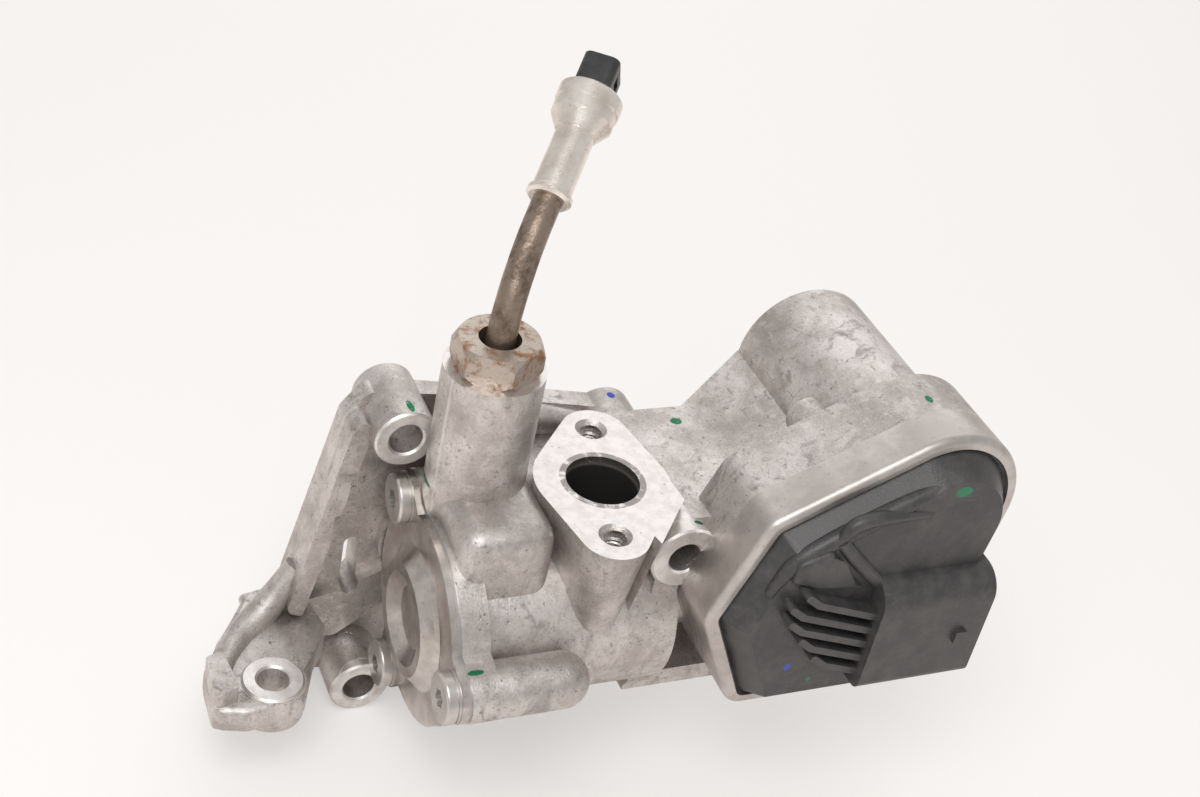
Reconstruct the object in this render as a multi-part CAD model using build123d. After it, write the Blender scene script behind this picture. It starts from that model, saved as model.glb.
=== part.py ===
from build123d import *
import math
import os

# An electrically driven exhaust gas recirculation valve, in millimetres.
# Origin: centre of the top gas port, on the face of its flange. +Z leaves along the port,
# +X points to the actuator, -Y is the side that carries the black gearbox cover.

os.makedirs("parts", exist_ok=True)

# ---- valve side of the casting ------------------------------------------------------------
PORT_R = 10.5                  # top gas port
PORT_SCREW = (5.4, 22.5)       # M8 hole of the port flange, and its twin opposite
PORT_TAP_R = 3.4               # M8 tapping size
PORT_CHAMFER = 1.3
PORT_END_Z = -33.0             # the port's bore opens into the passage above the stem
RISER_DEPTH = 50.0             # port flange down to the end of its riser
VALVE_Z = -43.0                # axis of chamber and stem, along X at Y = 0
CHAMBER_R = 26.0
CHAMBER_BORE_R = 22.0
COVER_X = -46.0                # face that the round cover closes
RIM_R = 31.0
RIM_T = 8.0
LOBE_R = 8.0
COVER_SCREW_PCR = 33.5         # pitch circle radius of the three cover screws
COVER_SCREW_ANGLES = (54, 176, 294)
COVER_BOSS_LENGTHS = (13, 28, 20)
COVER_TAP_R = 3.0
GASKET_T = 0.8
PLATE_T = 2.0
SCREW_R = 3.0
SCREW_L = 14.0
SCREW_HEAD_R = 7.2
SCREW_HEAD_H = 4.0
SEAT_X = -18.0                 # face of the valve seat
SEAT_T = 5.0
SEAT_OUTER_R = 18.0
SEAT_BORE_R = 12.5
BACK_Y = 45.0                  # plane of the rear mounting faces
BACK_PORT_X = -34.0            # gas port in the rear face, along Y at the height of the stem
BACK_PORT_R = 10.5
BACK_PORT_WALL_R = 16.0

# ---- through bosses for the fixing screws, all along Y -----------------------------------
FIX_HOLE_R = 4.8
RIGHT_BOSS = (19.0, -13.0)     # x, z
RIGHT_BOSS_R = 10.0
RIGHT_BOSS_Y = -20.0
UPPER_BOSS = (-50.5, 3.0)
LOWER_BOSS = (-55.0, -87.0)
LEFT_BOSS_R = 9.0
UPPER_BOSS_Y = 22.0
LOWER_BOSS_Y = 18.0

# ---- bracket and its upright boss ---------------------------------------------------------
WEB_Y = 35.0                   # front of the bracket's web
FOOT_BOSS = (-86.0, 4.5)       # x, y of the upright boss
FOOT_TOP_Z = -65.0
FOOT_BOSS_H = 11.0
FOOT_BOSS_R = 9.3
FOOT_HOLE_R = 4.5

# ---- sensor -------------------------------------------------------------------------------
SENSOR = (-32.8, 12.3)         # x, y of the sensor boss
SENSOR_BOSS_R = 14.0
SENSOR_BOSS_Z = 33.0
SENSOR_BORE_R = 4.6
NUT_AF = 22.0
NUT_H = 9.0
NUT_BORE_R = 5.8
NUT_SPIGOT_R = 7.0
NUT_SPIGOT_L = 9.0
TUBE_R = 4.0
TUBE_BORE_R = 3.2
TUBE_BEND_R = 41.1
TUBE_BEND_Z = 34.0             # where the bend starts
TUBE_BEND_ANGLE = 56.8
TUBE_HEADING = 51.2            # bend plane, degrees from +X towards +Y
TUBE_END_L = 16.0              # straight stretch after the bend, inside the sleeve
SLEEVE = (6.0, 27.0)           # stations along the straight stretch, from the bend's end
SLEEVE_R = 5.4
HEAD = (27.0, 40.0)
HEAD_R = 9.0
PLUG_END = 49.0
PLUG_SIZE = (14.5, 10.0)
PLUG_WALL = 1.4
PLUG_DEPTH = 7.0
PROBE_R = 3.0
PROBE_TIP_Z = -31.0
FERRULE_R = 6.7
FERRULE_T = 3.0

# ---- neck between valve and actuator ------------------------------------------------------
WALL_X0 = 12.0                 # upright wall that carries the stem bush
WALL_X1 = 20.0
NECK_TOP_Z = -3.0
NECK_T = 5.0
NECK_Y0 = -16.5
NECK_Y1 = 33.0
NECK_FLOOR_Z = -66.0
NECK_FLOOR_T = 6.0
WINDOW_X1 = 33.0               # the neck is open from the wall to here
GUIDE_R = 12.0                 # round guide that holds the return spring
GUIDE_BORE_R = 9.5
GUIDE_BORE_X = 26.0

# ---- actuator -----------------------------------------------------------------------------
MOTOR = (82.5, 7.6)            # x, z of the motor axis
MOTOR_BARREL_R = 22.0
MOTOR_BARREL_Y = 44.0
MOTOR_R = 18.0
MOTOR_BORE_R = 18.2
OUTPUT = (68.0, -36.0)         # x, z of the output shaft
PAN_OPEN_Y = -28.0             # face that the gearbox cover closes
PAN_FLOOR_Y = -12.0
PAN_FLOOR_T = 4.0
PAN_WALL = 3.5
CAM_ROOM_Y = 9.5               # rear wall of the cam chamber
CAM_ROOM_X = (40.5, 93.0)
CAM_ROOM_Z = (-60.0, -14.5)
CAM_ROOM_CREST = (72.0, -9.5)  # the room is higher up to this x, where the cam swings
RING_Y0 = -38.0                # front of the crimp ring
RING_Y1 = -25.0
RING_T = 1.6
LIP_W = 3.6
COVER_FLANGE_Y0 = -36.4        # flange under the ring's lip
COVER_FLANGE_Y1 = -28.8
COVER_WALL = 2.6
PLATEAU_Y = -45.0
PLATEAU_INSET = 9.5            # how far the plateau's edge stands inside the ring
CONNECTOR_X = (66.0, 103.0)
CONNECTOR_Y = (-52.5, -38.3)
CONNECTOR_Z = (-43.0, -6.0)
CONNECTOR_DEPTH = 19.0
SHROUD_T = 2.6
PIN_SPOTS = [(-45.0, -24.5 + 5.5 * step) for step in (-2, -1, 0, 1, 2)]     # y, z
FIN_STARTS = (46.0, 42.0, 43.0, 48.0, 54.0)
FIN_TOP_Z = -6.0
FIN_PITCH = 5.2
FIN_W = 2.2
FIN_Y0 = -50.0
AXLE_BOSSES = ((61, 15, 6, 2), (71, 23, 5, -6), (52, 8, 5, -6))   # x, z, radius, rear end

# ---- drive --------------------------------------------------------------------------------
LIFT = 8.0                     # travel of the valve
CAM_TURN = 100.0               # turn of the output shaft for the full lift, degrees
ROLLER_REST_X = 57.0
ROLLER_R = 3.2
CAM_WALL = 2.2
CAM_PLAY = 0.1
CAM_T = 5.0
STEM_R = 3.5
FIT = 0.05                     # radial running clearance
STAGE1 = (0.8, 12, 44)         # module, motor pinion teeth, wheel teeth
STAGE2 = (1.0, 12, 52)         # module, small pinion teeth, output gear teeth
PRESSURE = math.radians(20)
BACKLASH = 0.30
SHAFT_R = 4.0
SHAFT_Y0 = -41.0
SHAFT_Y1 = 14.0
BUSH_R = 6.0
BUSH_L = 5.0
HUB_R = 9.0
HUB_Y0 = -30.0
HUB_Y1 = -14.0
GEAR_Y0 = -27.0                # output gear
GEAR_Y1 = -20.0
WHEEL_Y0 = -33.0               # large intermediate wheel
WHEEL_Y1 = -28.5
AXLE_R = 2.5
AXLE_Y0 = -38.0
AXLE_SEAT = 2.5
MAGNET_T = 3.0
BOARD_Y = -36.0
BOARD_T = 1.2
MOTOR_SHAFT_R = 1.6
CAN_Y0 = -12.0
CAN_Y1 = 40.5
END_T = 2.0                    # motor end plate
MOTOR_SCREW_R = 1.5
MOTOR_PINION_Y0 = -34.0
STEM_BUSH_R = 6.0
STEM_BUSH = (7.0, 21.0)
STEM_SEAL = (21.3, 25.7)
FORK_X0 = 43.5
FORK_X1 = 46.6
FORK_GAP = 0.8                 # between cam and each cheek
CHEEK_T = 3.0
PIN_R = 1.8
RETAINER_T = 1.6
SPRING_R = 7.4
SPRING_WIRE = 1.8
SPRING_TURNS = 4.0


# ---- small helpers ------------------------------------------------------------------------
def cyl_x(radius, x0, x1, y=0.0, z=VALVE_Z):
    """Round bar along X."""
    return Pos((x0 + x1) / 2, y, z) * Rot(0, 90, 0) * Cylinder(radius, x1 - x0)


def cyl_y(radius, y0, y1, xz):
    """Round bar along Y."""
    return Pos(xz[0], (y0 + y1) / 2, xz[1]) * Rot(90, 0, 0) * Cylinder(radius, y1 - y0)


def cyl_z(radius, z0, z1, xy):
    """Round bar along Z."""
    return Pos(xy[0], xy[1], (z0 + z1) / 2) * Cylinder(radius, z1 - z0)


def block(x0, x1, y0, y1, z0, z1):
    """Box between two corners."""
    return Pos((x0 + x1) / 2, (y0 + y1) / 2, (z0 + z1) / 2) * Box(x1 - x0, y1 - y0, z1 - z0)


def outline(points, radii):
    """Closed outline with rounded corners."""
    return make_face(FilletPolyline(*points, radius=radii, close=True))


def slab_y(face, y0, y1):
    """Outline drawn in X and Z, given its thickness along Y."""
    return extrude(Plane.XZ.offset(-y1) * face, amount=y1 - y0)


def slab_x(face, x0, x1):
    """Outline drawn in Y and Z, given its thickness along X."""
    return extrude(Plane.YZ.offset(x0) * face, amount=x1 - x0)


def on_circle(centre, radius, degrees):
    angle = math.radians(degrees)
    return (centre[0] + radius * math.cos(angle), centre[1] + radius * math.sin(angle))


def meet(a, ra, b, rb, side):
    """Point at distance ra from a and rb from b; side picks one of the two."""
    dx, dz = b[0] - a[0], b[1] - a[1]
    dist = math.hypot(dx, dz)
    along = (dist**2 + ra**2 - rb**2) / (2 * dist)
    off = side * math.sqrt(ra**2 - along**2)
    return (a[0] + (along * dx - off * dz) / dist, a[1] + (along * dz + off * dx) / dist)


def pitch_radius(module, teeth):
    return module * teeth / 2


CENTRES1 = pitch_radius(STAGE1[0], STAGE1[1] + STAGE1[2])
CENTRES2 = pitch_radius(STAGE2[0], STAGE2[1] + STAGE2[2])
MIDDLE = meet(OUTPUT, CENTRES2, MOTOR, CENTRES1, 1)      # x, z of the intermediate axle

COVER_SCREWS = [on_circle((0, VALVE_Z), COVER_SCREW_PCR, a) for a in COVER_SCREW_ANGLES]
MOTOR_SCREWS = [on_circle(MOTOR, 21.5, angle) for angle in (150, 300)]


# ---- outlines -----------------------------------------------------------------------------
def pan_outline(inset=0.0):
    """Rounded teardrop of the gearbox, drawn in X and Z."""
    start = Vector(72.0, 30.8)
    points = [(107.5, -16.0), (105.5, -57.5), (35.5, -57.5), (19.5, -22.0), (32.0, 10.8)]
    arc = ThreePointArc(start, (98.5, 30.3), (110.5, 6.0))
    sides = Polyline((110.5, 6.0), *points, start)
    face = make_face(arc + sides)
    corners = [v for v in face.vertices() if v.X < 60 or v.Z < -20 or v.Y < -20]
    face = fillet(corners, 7)
    return offset(face, -inset) if inset else face


def cam_room_outline(grow=0.0):
    """Chamber of the cam, drawn in X and Z, grown by the thickness of its walls."""
    x0, x1 = CAM_ROOM_X[0] - grow, CAM_ROOM_X[1] + grow
    z0, z1 = CAM_ROOM_Z[0] - grow, CAM_ROOM_Z[1] + grow
    crest_x, crest_z = CAM_ROOM_CREST[0] + grow / 2, CAM_ROOM_CREST[1] + grow
    corners = [(x0, z0), (x1, z0), (x1, z1), (crest_x + 5, z1), (crest_x, crest_z), (x0, crest_z)]
    return outline(corners, [6, 6, 5, 2, 2, 5])


def port_outline(grow=0.0):
    """Flange of the top gas port: an oval with two ears, drawn in X and Y."""
    lobe = 9.8 + grow
    waist = 19.6 + grow
    corner = (20.0 + grow, -11.6)
    near = Pos(-PORT_SCREW[0] * 1.05, -PORT_SCREW[1]) * Circle(lobe)
    far = Pos(PORT_SCREW[0] * 1.15, PORT_SCREW[1] * 0.95) * Circle(lobe)
    hull = make_hull((near + far + Circle(waist)).edges())
    tip = Polyline((0, 0), (waist - 1, 8), corner, (6, -28 - grow), (0, 0))
    return hull + make_face(tip)


def cover_outline(disc_r, lobe_r):
    """Round plate with three ears, drawn in Y and Z."""
    face = Pos(0, VALVE_Z) * Circle(disc_r)
    for screw in COVER_SCREWS:
        ear = Pos(*screw) * Circle(lobe_r)
        root = Pos(screw[0] * 0.55, VALVE_Z + (screw[1] - VALVE_Z) * 0.55) * Circle(lobe_r * 1.6)
        face += make_hull((ear + root).edges())
    return face


# ---- main casting -------------------------------------------------------------------------
def valve_block():
    """Chamber, its flanged rim and screw bosses, and the port riser."""
    body = cyl_x(CHAMBER_R, COVER_X + RIM_T - 1, WALL_X1)
    body += slab_x(cover_outline(RIM_R, LOBE_R), COVER_X, COVER_X + RIM_T)
    for screw, length in zip(COVER_SCREWS, COVER_BOSS_LENGTHS):
        body += cyl_x(LOBE_R, COVER_X, COVER_X + length, *screw)
        body += Pos(COVER_X + length, *screw) * Sphere(LOBE_R)
    top = port_outline()
    foot = Plane.XY.offset(-RISER_DEPTH) * scale(top, by=(0.62, 0.66, 1))
    body += loft([foot, top])
    body += block(-42, -20, -15, 20, VALVE_Z, -4)
    body += cyl_z(SENSOR_BOSS_R, VALVE_Z, SENSOR_BOSS_Z, SENSOR)
    return body


def neck():
    """Upright wall, open neck with its spring guide, and the boss beside the port."""
    wall = outline([(-20, -6), (-20, -62), (-4, -74), (30, -74), (40, -60), (40, -6)],
                   [3, 5, 6, 6, 6, 3])
    body = slab_x(wall, WALL_X0, WALL_X1)
    body += block(WALL_X0, 45, NECK_Y0, NECK_Y1, NECK_TOP_Z - NECK_T, NECK_TOP_Z)
    body += block(WALL_X0, 45, -18, NECK_Y1, NECK_FLOOR_Z, NECK_FLOOR_Z + NECK_FLOOR_T)
    body += cyl_y(RIGHT_BOSS_R, RIGHT_BOSS_Y, BACK_Y, RIGHT_BOSS)
    return body


def actuator():
    """Gear pan, cam chamber and motor barrel."""
    body = slab_y(pan_outline(RING_T + 0.2), PAN_OPEN_Y, RING_Y1)
    body += slab_y(pan_outline(), RING_Y1, PAN_FLOOR_Y + PAN_FLOOR_T)
    body += slab_y(cam_room_outline(3.6), PAN_FLOOR_Y, CAM_ROOM_Y + 7)
    barrel = cyl_y(MOTOR_BARREL_R, PAN_FLOOR_Y, MOTOR_BARREL_Y, MOTOR)
    rear_rim = barrel.edges().filter_by(GeomType.CIRCLE).sort_by(Axis.Y)[-1]
    body += fillet(rear_rim, 2.5)
    ramp = outline([(34, NECK_TOP_Z - NECK_T), (34, NECK_TOP_Z), (39, NECK_TOP_Z), (62, 9.5),
                    (72, 10), (72, 2), (64, 2), (42, NECK_TOP_Z - NECK_T)],
                   [1, 1, 12, 2, 1, 1, 12, 12])
    web = slab_y(ramp, PAN_FLOOR_Y, MOTOR_BARREL_Y - 1)
    plan = outline([(30, -40), (90, -40), (90, 43), (61, 43), (38, 32), (30, 33)],
                   [1, 1, 1, 3, 8, 1])
    body += web & Pos(0, 0, -40) * extrude(plan, amount=80)
    for x, z, r, y1 in AXLE_BOSSES:
        body += cyl_y(r, RING_Y1, y1, (x, z))
    return body


def bracket():
    """Rear web with its two bosses, and the foot with its upright boss."""
    web = outline([(-58, 10), (-64, 2), (-77, -62), (-88, -72), (-72, -92), (-55, -96),
                   (-20, -70), (-20, 5)], [4, 6, 10, 6, 8, 8, 5, 5])
    body = slab_y(web, WEB_Y, WEB_Y + 6)
    rim = outline([(-58, 10), (-64, 2), (-77, -62), (-72, -64), (-59, -2)], [2, 4, 3, 1, 3])
    body += slab_y(rim, WEB_Y - 8, WEB_Y + 6)
    body += cyl_y(LEFT_BOSS_R, UPPER_BOSS_Y, BACK_Y, UPPER_BOSS)
    body += cyl_y(LEFT_BOSS_R, LOWER_BOSS_Y, BACK_Y, LOWER_BOSS)
    shelf = outline([(-70, 41), (-84, 41), (-97, 20), (-103.5, 12), (-104, -3), (-97, 2),
                     (-80, 2), (-66, 22)], [2, 3, 6, 2, 2, 2, 4, 5])
    floor_z = FOOT_TOP_Z - FOOT_BOSS_H
    body += Pos(0, 0, FOOT_TOP_Z - 9) * extrude(shelf, amount=9)
    lug = outline([(-98.5, 14), (-103.5, 12), (-104, -3), (-97, -1)], [1, 1, 2, 1])
    body += Pos(0, 0, floor_z + 2) * extrude(lug, amount=FOOT_BOSS_H + 3)
    body += cyl_z(FOOT_BOSS_R, floor_z, FOOT_TOP_Z, FOOT_BOSS)
    strut = outline([(-88, -66), (-60, -60), (-40, -50), (-40, -62), (-60, -78), (-84, -76)],
                    [2, 3, 2, 2, 4, 2])
    body += slab_y(strut, 31.6, WEB_Y + 6)
    return body


def rear_flange():
    """Rear gas port and the flat face round it."""
    body = cyl_y(BACK_PORT_WALL_R, 0, BACK_Y, (BACK_PORT_X, VALVE_Z))
    pad = outline([(-58, 8), (-60, -40), (-58, -92), (-46, -92), (-14, -58), (22, -24), (22, -6),
                   (-20, 2)], [6, 8, 6, 8, 10, 6, 6, 10])
    body += slab_y(pad, BACK_Y - 7, BACK_Y)
    return body


def gas_passages():
    """What is cut out of the valve side."""
    tool = cyl_z(PORT_R, PORT_END_Z, 1, (0, 0))
    tool += cyl_x(CHAMBER_BORE_R, COVER_X - 1, SEAT_X)
    tool += cyl_x(SEAT_OUTER_R, SEAT_X, SEAT_X + SEAT_T)
    tool += cyl_x(15, SEAT_X, STEM_BUSH[0] - 1)
    tool += cyl_y(BACK_PORT_R, 0, BACK_Y + 1, (BACK_PORT_X, VALVE_Z))
    tool += cyl_z(SENSOR_BORE_R, VALVE_Z, SENSOR_BOSS_Z + 1, SENSOR)
    tool += cyl_z(NUT_SPIGOT_R, SENSOR_BOSS_Z - NUT_SPIGOT_L - 3, SENSOR_BOSS_Z + 1, SENSOR)
    for sign in (1, -1):
        spot = (sign * PORT_SCREW[0], sign * PORT_SCREW[1])
        tool += cyl_z(PORT_TAP_R, -18, 1, spot)
        tool += Pos(spot[0], spot[1], -PORT_CHAMFER / 2) * Cone(
            PORT_TAP_R, PORT_TAP_R + PORT_CHAMFER, PORT_CHAMFER)
    for screw, length in zip(COVER_SCREWS, COVER_BOSS_LENGTHS):
        tool += cyl_x(COVER_TAP_R, COVER_X - 1, COVER_X + min(length, 12), *screw)
    tool += cyl_z(1.3, SENSOR_BOSS_Z - 2, SENSOR_BOSS_Z + 1, (SENSOR[0] + 11.2, SENSOR[1] - 3))
    return tool


def fixing_holes():
    tool = cyl_y(FIX_HOLE_R, RIGHT_BOSS_Y - 1, BACK_Y + 1, RIGHT_BOSS)
    tool += cyl_y(FIX_HOLE_R, UPPER_BOSS_Y - 1, BACK_Y + 1, UPPER_BOSS)
    tool += cyl_y(FIX_HOLE_R, LOWER_BOSS_Y - 1, BACK_Y + 1, LOWER_BOSS)
    tool += cyl_z(FOOT_HOLE_R, FOOT_TOP_Z - FOOT_BOSS_H - 1, FOOT_TOP_Z + 1, FOOT_BOSS)
    slot = Pos(-57, -52) * SlotOverall(19, 4.8, rotation=90)
    tool += slab_y(slot, WEB_Y - 20, BACK_Y + 1)
    return tool


def drive_pockets():
    """What is cut out of the actuator."""
    tool = slab_y(pan_outline(PAN_WALL), PAN_OPEN_Y - 1, PAN_FLOOR_Y)
    tool += slab_y(cam_room_outline(), PAN_FLOOR_Y - 1, CAM_ROOM_Y)
    tool += cyl_y(MOTOR_BORE_R, PAN_FLOOR_Y - 1, MOTOR_BARREL_Y - 3, MOTOR)
    tool += cyl_y(BUSH_R, CAM_ROOM_Y - 1, CAM_ROOM_Y + BUSH_L, OUTPUT)
    tool += cyl_y(AXLE_R, PAN_FLOOR_Y - 1, PAN_FLOOR_Y + AXLE_SEAT, MIDDLE)
    for screw in MOTOR_SCREWS:
        tool += cyl_y(MOTOR_SCREW_R, PAN_FLOOR_Y - 1, PAN_FLOOR_Y + PAN_FLOOR_T - 1, screw)
    return tool


def neck_window():
    """The through window of the neck."""
    return block(WALL_X1, WINDOW_X1, -60, 60, NECK_FLOOR_Z + NECK_FLOOR_T, NECK_TOP_Z - NECK_T)


def main_housing():
    body = valve_block() + neck() - neck_window()
    body += actuator() + bracket() + rear_flange()
    body += cyl_x(GUIDE_R, WALL_X1 - 1, CAM_ROOM_X[0] - 2)
    body += cyl_y(RIGHT_BOSS_R, RIGHT_BOSS_Y, BACK_Y, RIGHT_BOSS)
    body -= gas_passages()
    body -= drive_pockets()
    body -= cyl_x(GUIDE_BORE_R, GUIDE_BORE_X, CAM_ROOM_X[0] + 1)
    body -= cyl_x(STEM_BUSH_R, STEM_BUSH[0] - 1, GUIDE_BORE_X + 1)
    body -= fixing_holes()
    relief = cover_outline(RIM_R + 0.5, LOBE_R + 0.5)
    return body - slab_x(relief, COVER_X - 20, COVER_X)


# ---- round cover of the valve chamber -----------------------------------------------------
def plate_holes():
    tool = None
    for screw in COVER_SCREWS:
        hole = cyl_x(SCREW_R + 0.3, COVER_X - 6, COVER_X + 1, *screw)
        tool = hole if tool is None else tool + hole
    return tool


def cover_gasket():
    face = cover_outline(RIM_R - 0.4, LOBE_R - 0.4) - Pos(0, VALVE_Z) * Circle(CHAMBER_BORE_R + 0.5)
    return slab_x(face, COVER_X - GASKET_T, COVER_X) - plate_holes()


def cover_plate():
    """Stamped plate with a raised ring round a shallow dish."""
    back = COVER_X - GASKET_T
    plate = slab_x(cover_outline(RIM_R - 0.4, LOBE_R - 0.4), back - PLATE_T, back)
    crest, foot, dish = 15.0, 21.0, 9.0
    bulge = 4.0
    outer = Polyline((0, 0), (0, foot), (-1.0, foot - 1.5), (-bulge, crest + 1.5),
                     (-bulge, crest - 1.5), (-1.0, dish), (-1.0, 0), (0, 0))
    raised = revolve(Plane.XY * make_face(outer), Axis.X)
    hollow = Polyline((PLATE_T, 0), (PLATE_T, foot - 1.5), (PLATE_T - 1.6, foot - 3),
                      (PLATE_T - bulge, crest + 0.8), (PLATE_T - bulge, crest - 0.8),
                      (PLATE_T - 1.6, dish + 0.8), (PLATE_T - 0.9, dish), (PLATE_T - 0.9, 0),
                      (PLATE_T, 0))
    carved = revolve(Plane.XY * make_face(hollow), Axis.X)
    place = Pos(back - PLATE_T, 0, VALVE_Z)
    return plate + place * raised - place * carved - plate_holes()


def star_socket(radius, depth):
    """Six-lobed driver socket, open towards +Z from -depth to 0."""
    face = Circle(radius * 0.80)
    for index in range(6):
        face += Pos(*on_circle((0, 0), radius * 0.78, index * 60)) * Circle(radius * 0.22)
    return Pos(0, 0, -depth) * extrude(face, amount=depth + 1)


def cover_screw():
    """Pan-head screw along Z, its seat at Z = 0 and its shank below."""
    head = Cylinder(SCREW_HEAD_R, SCREW_HEAD_H, align=(Align.CENTER, Align.CENTER, Align.MIN))
    top_edge = head.edges().filter_by(GeomType.CIRCLE).sort_by(Axis.Z)[-1]
    head = fillet(top_edge, 0.8)
    groove = Pos(0, 0, 0.9) * (Cylinder(SCREW_HEAD_R + 1, 0.4) - Cylinder(SCREW_HEAD_R - 0.4, 0.4))
    shank = Pos(0, 0, -SCREW_L / 2) * Cylinder(SCREW_R, SCREW_L)
    socket = Pos(0, 0, SCREW_HEAD_H) * star_socket(2.9, 2.4)
    return head - groove + shank - socket


def cover_screws():
    seat = COVER_X - GASKET_T - PLATE_T
    pieces = [Pos(seat, *screw) * Rot(0, -90, 0) * cover_screw() for screw in COVER_SCREWS]
    return Compound(children=pieces)


# ---- valve --------------------------------------------------------------------------------
def valve_seat():
    """Pressed-in ring; its mouth is coned for the disc."""
    end = SEAT_X + SEAT_T
    seat = cyl_x(SEAT_OUTER_R, SEAT_X, end) - cyl_x(SEAT_BORE_R, SEAT_X - 1, end + 1)
    mouth = Pos(SEAT_X + 0.6, 0, VALVE_Z) * Rot(0, -90, 0)
    return seat - mouth * Cone(SEAT_BORE_R, SEAT_BORE_R + 1.2, 1.2)


def valve_disc():
    """Poppet: stiffened on the chamber side, coned on the side that seats."""
    profile = Polyline((2.6, 0), (2.6, 5.2), (0, 6.2), (0, 14.5), (-1.6, 15.5), (-3.0, 15.5),
                       (-3.0, 8.0), (-4.6, 6.0), (-4.6, 0), (2.6, 0))
    disc = revolve(make_face(profile), Axis.X)
    return Pos(SEAT_X - 0.1, 0, VALVE_Z) * disc - cyl_x(STEM_R, SEAT_X - 6, SEAT_X + 6)


def valve_stem():
    bar = cyl_x(STEM_R, SEAT_X - 5.2, FORK_X0)
    return bar + cyl_x(STEM_R - 1.0, FORK_X0, FORK_X1 - 0.5)


def stem_bush():
    return cyl_x(STEM_BUSH_R, *STEM_BUSH) - cyl_x(STEM_R + FIT, STEM_BUSH[0] - 1, STEM_BUSH[1] + 1)


def stem_seal():
    """Two-lipped ring round the stem."""
    seal = cyl_x(STEM_BUSH_R, *STEM_SEAL) - cyl_x(STEM_R + FIT, 20, 28)
    return seal - cyl_x(STEM_R + 1.0, STEM_SEAL[0] + 1.2, STEM_SEAL[1] - 1.2)


def spring_retainer():
    """Cup that the spring pushes against, pressed on the stem behind the fork."""
    cup = cyl_x(8.6, FORK_X0 - RETAINER_T, FORK_X0) + cyl_x(5.2, FORK_X0 - 4.5, FORK_X0)
    return cup - cyl_x(STEM_R, FORK_X0 - 9, FORK_X0 + 1)


def return_spring():
    """Compression spring between the bottom of its guide and the retainer."""
    start = GUIDE_BORE_X + 0.1 + SPRING_WIRE / 2
    length = FORK_X0 - RETAINER_T - 0.1 - SPRING_WIRE / 2 - start
    path = Helix(pitch=length / SPRING_TURNS, height=length, radius=SPRING_R)
    section = Plane(origin=path @ 0, z_dir=path % 0) * Circle(SPRING_WIRE / 2)
    return Pos(start, 0, VALVE_Z) * Rot(0, 90, 0) * sweep(section, path=path, is_frenet=True)


def stem_fork():
    """Two cheeks that straddle the cam disc and hold the roller's pin."""
    half = CAM_T / 2 + FORK_GAP
    wide = half + CHEEK_T
    pin_at = (ROLLER_REST_X, VALVE_Z)
    body = block(FORK_X0, ROLLER_REST_X, -wide, wide, VALVE_Z - 4.6, VALVE_Z + 4.6)
    body += cyl_y(4.6, -wide, wide, pin_at)
    body -= block(FORK_X1, ROLLER_REST_X + 9, -half, half, VALVE_Z - 9, VALVE_Z + 9)
    body -= cyl_y(PIN_R, -20, 20, pin_at)
    return body - cyl_x(STEM_R - 1.0, FORK_X0 - 1, FORK_X1 - 0.5)


def roller_pin():
    half = CAM_T / 2 + FORK_GAP + CHEEK_T
    return cyl_y(PIN_R, -half, half, (ROLLER_REST_X, VALVE_Z))


def cam_roller():
    half = CAM_T / 2 + 0.4
    ring = cyl_y(ROLLER_R, -half, half, (ROLLER_REST_X, VALVE_Z))
    return ring - cyl_y(PIN_R + FIT, -20, 20, (ROLLER_REST_X, VALVE_Z))


# ---- output shaft with cam and gear -------------------------------------------------------
def roller_on_cam(turn):
    """Roller centre seen from the cam, when the shaft has turned so many degrees."""
    x = ROLLER_REST_X - LIFT * turn / CAM_TURN - OUTPUT[0]
    z = VALVE_Z - OUTPUT[1]
    angle = math.radians(-turn)
    return (OUTPUT[0] + x * math.cos(angle) - z * math.sin(angle),
            OUTPUT[1] + x * math.sin(angle) + z * math.cos(angle))


def cam_point(turn, shift=0.0):
    """Point of the slot's centre line, or one beside it; a positive shift leads outwards."""
    x, z = roller_on_cam(turn)
    x0, z0 = roller_on_cam(turn - 0.5)
    x1, z1 = roller_on_cam(turn + 0.5)
    step = math.hypot(x1 - x0, z1 - z0)
    return (x - shift * (z1 - z0) / step, z + shift * (x1 - x0) / step)


def cam_track(half_width, first, last):
    """Curved slot of the given half width between two turns of the shaft."""
    steps = [first + (last - first) * i / 6 for i in range(7)]
    inner = Spline([cam_point(t, -half_width) for t in steps])
    outer = Spline([cam_point(t, half_width) for t in steps])
    face = make_face([inner, outer, Line(inner @ 0, outer @ 0), Line(inner @ 1, outer @ 1)])
    return face + [Pos(*cam_point(t)) * Circle(half_width) for t in (first, last)]


def cam_disc():
    """Slotted plate that carries the roller along as the shaft turns."""
    web = make_face(Polyline(OUTPUT, *[cam_point(t) for t in (10, 40, 70, CAM_TURN)], close=True))
    face = cam_track(ROLLER_R + CAM_WALL, 0, CAM_TURN) + web + Pos(*OUTPUT) * Circle(9.5)
    face -= cam_track(ROLLER_R + CAM_PLAY, 0, CAM_TURN)
    disc = slab_y(face, -CAM_T / 2, CAM_T / 2)
    return disc - cyl_y(SHAFT_R, -9, 9, OUTPUT)


def output_shaft():
    return cyl_y(SHAFT_R, SHAFT_Y0, SHAFT_Y1, OUTPUT)


def bush(y0, y1):
    return cyl_y(BUSH_R, y0, y1, OUTPUT) - cyl_y(SHAFT_R + FIT, y0 - 1, y1 + 1, OUTPUT)


def output_bushes():
    rear = bush(CAM_ROOM_Y, CAM_ROOM_Y + BUSH_L)
    front = bush(SHAFT_Y0 - 0.3, SHAFT_Y0 + BUSH_L)
    return Compound(children=[rear, front])


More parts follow.
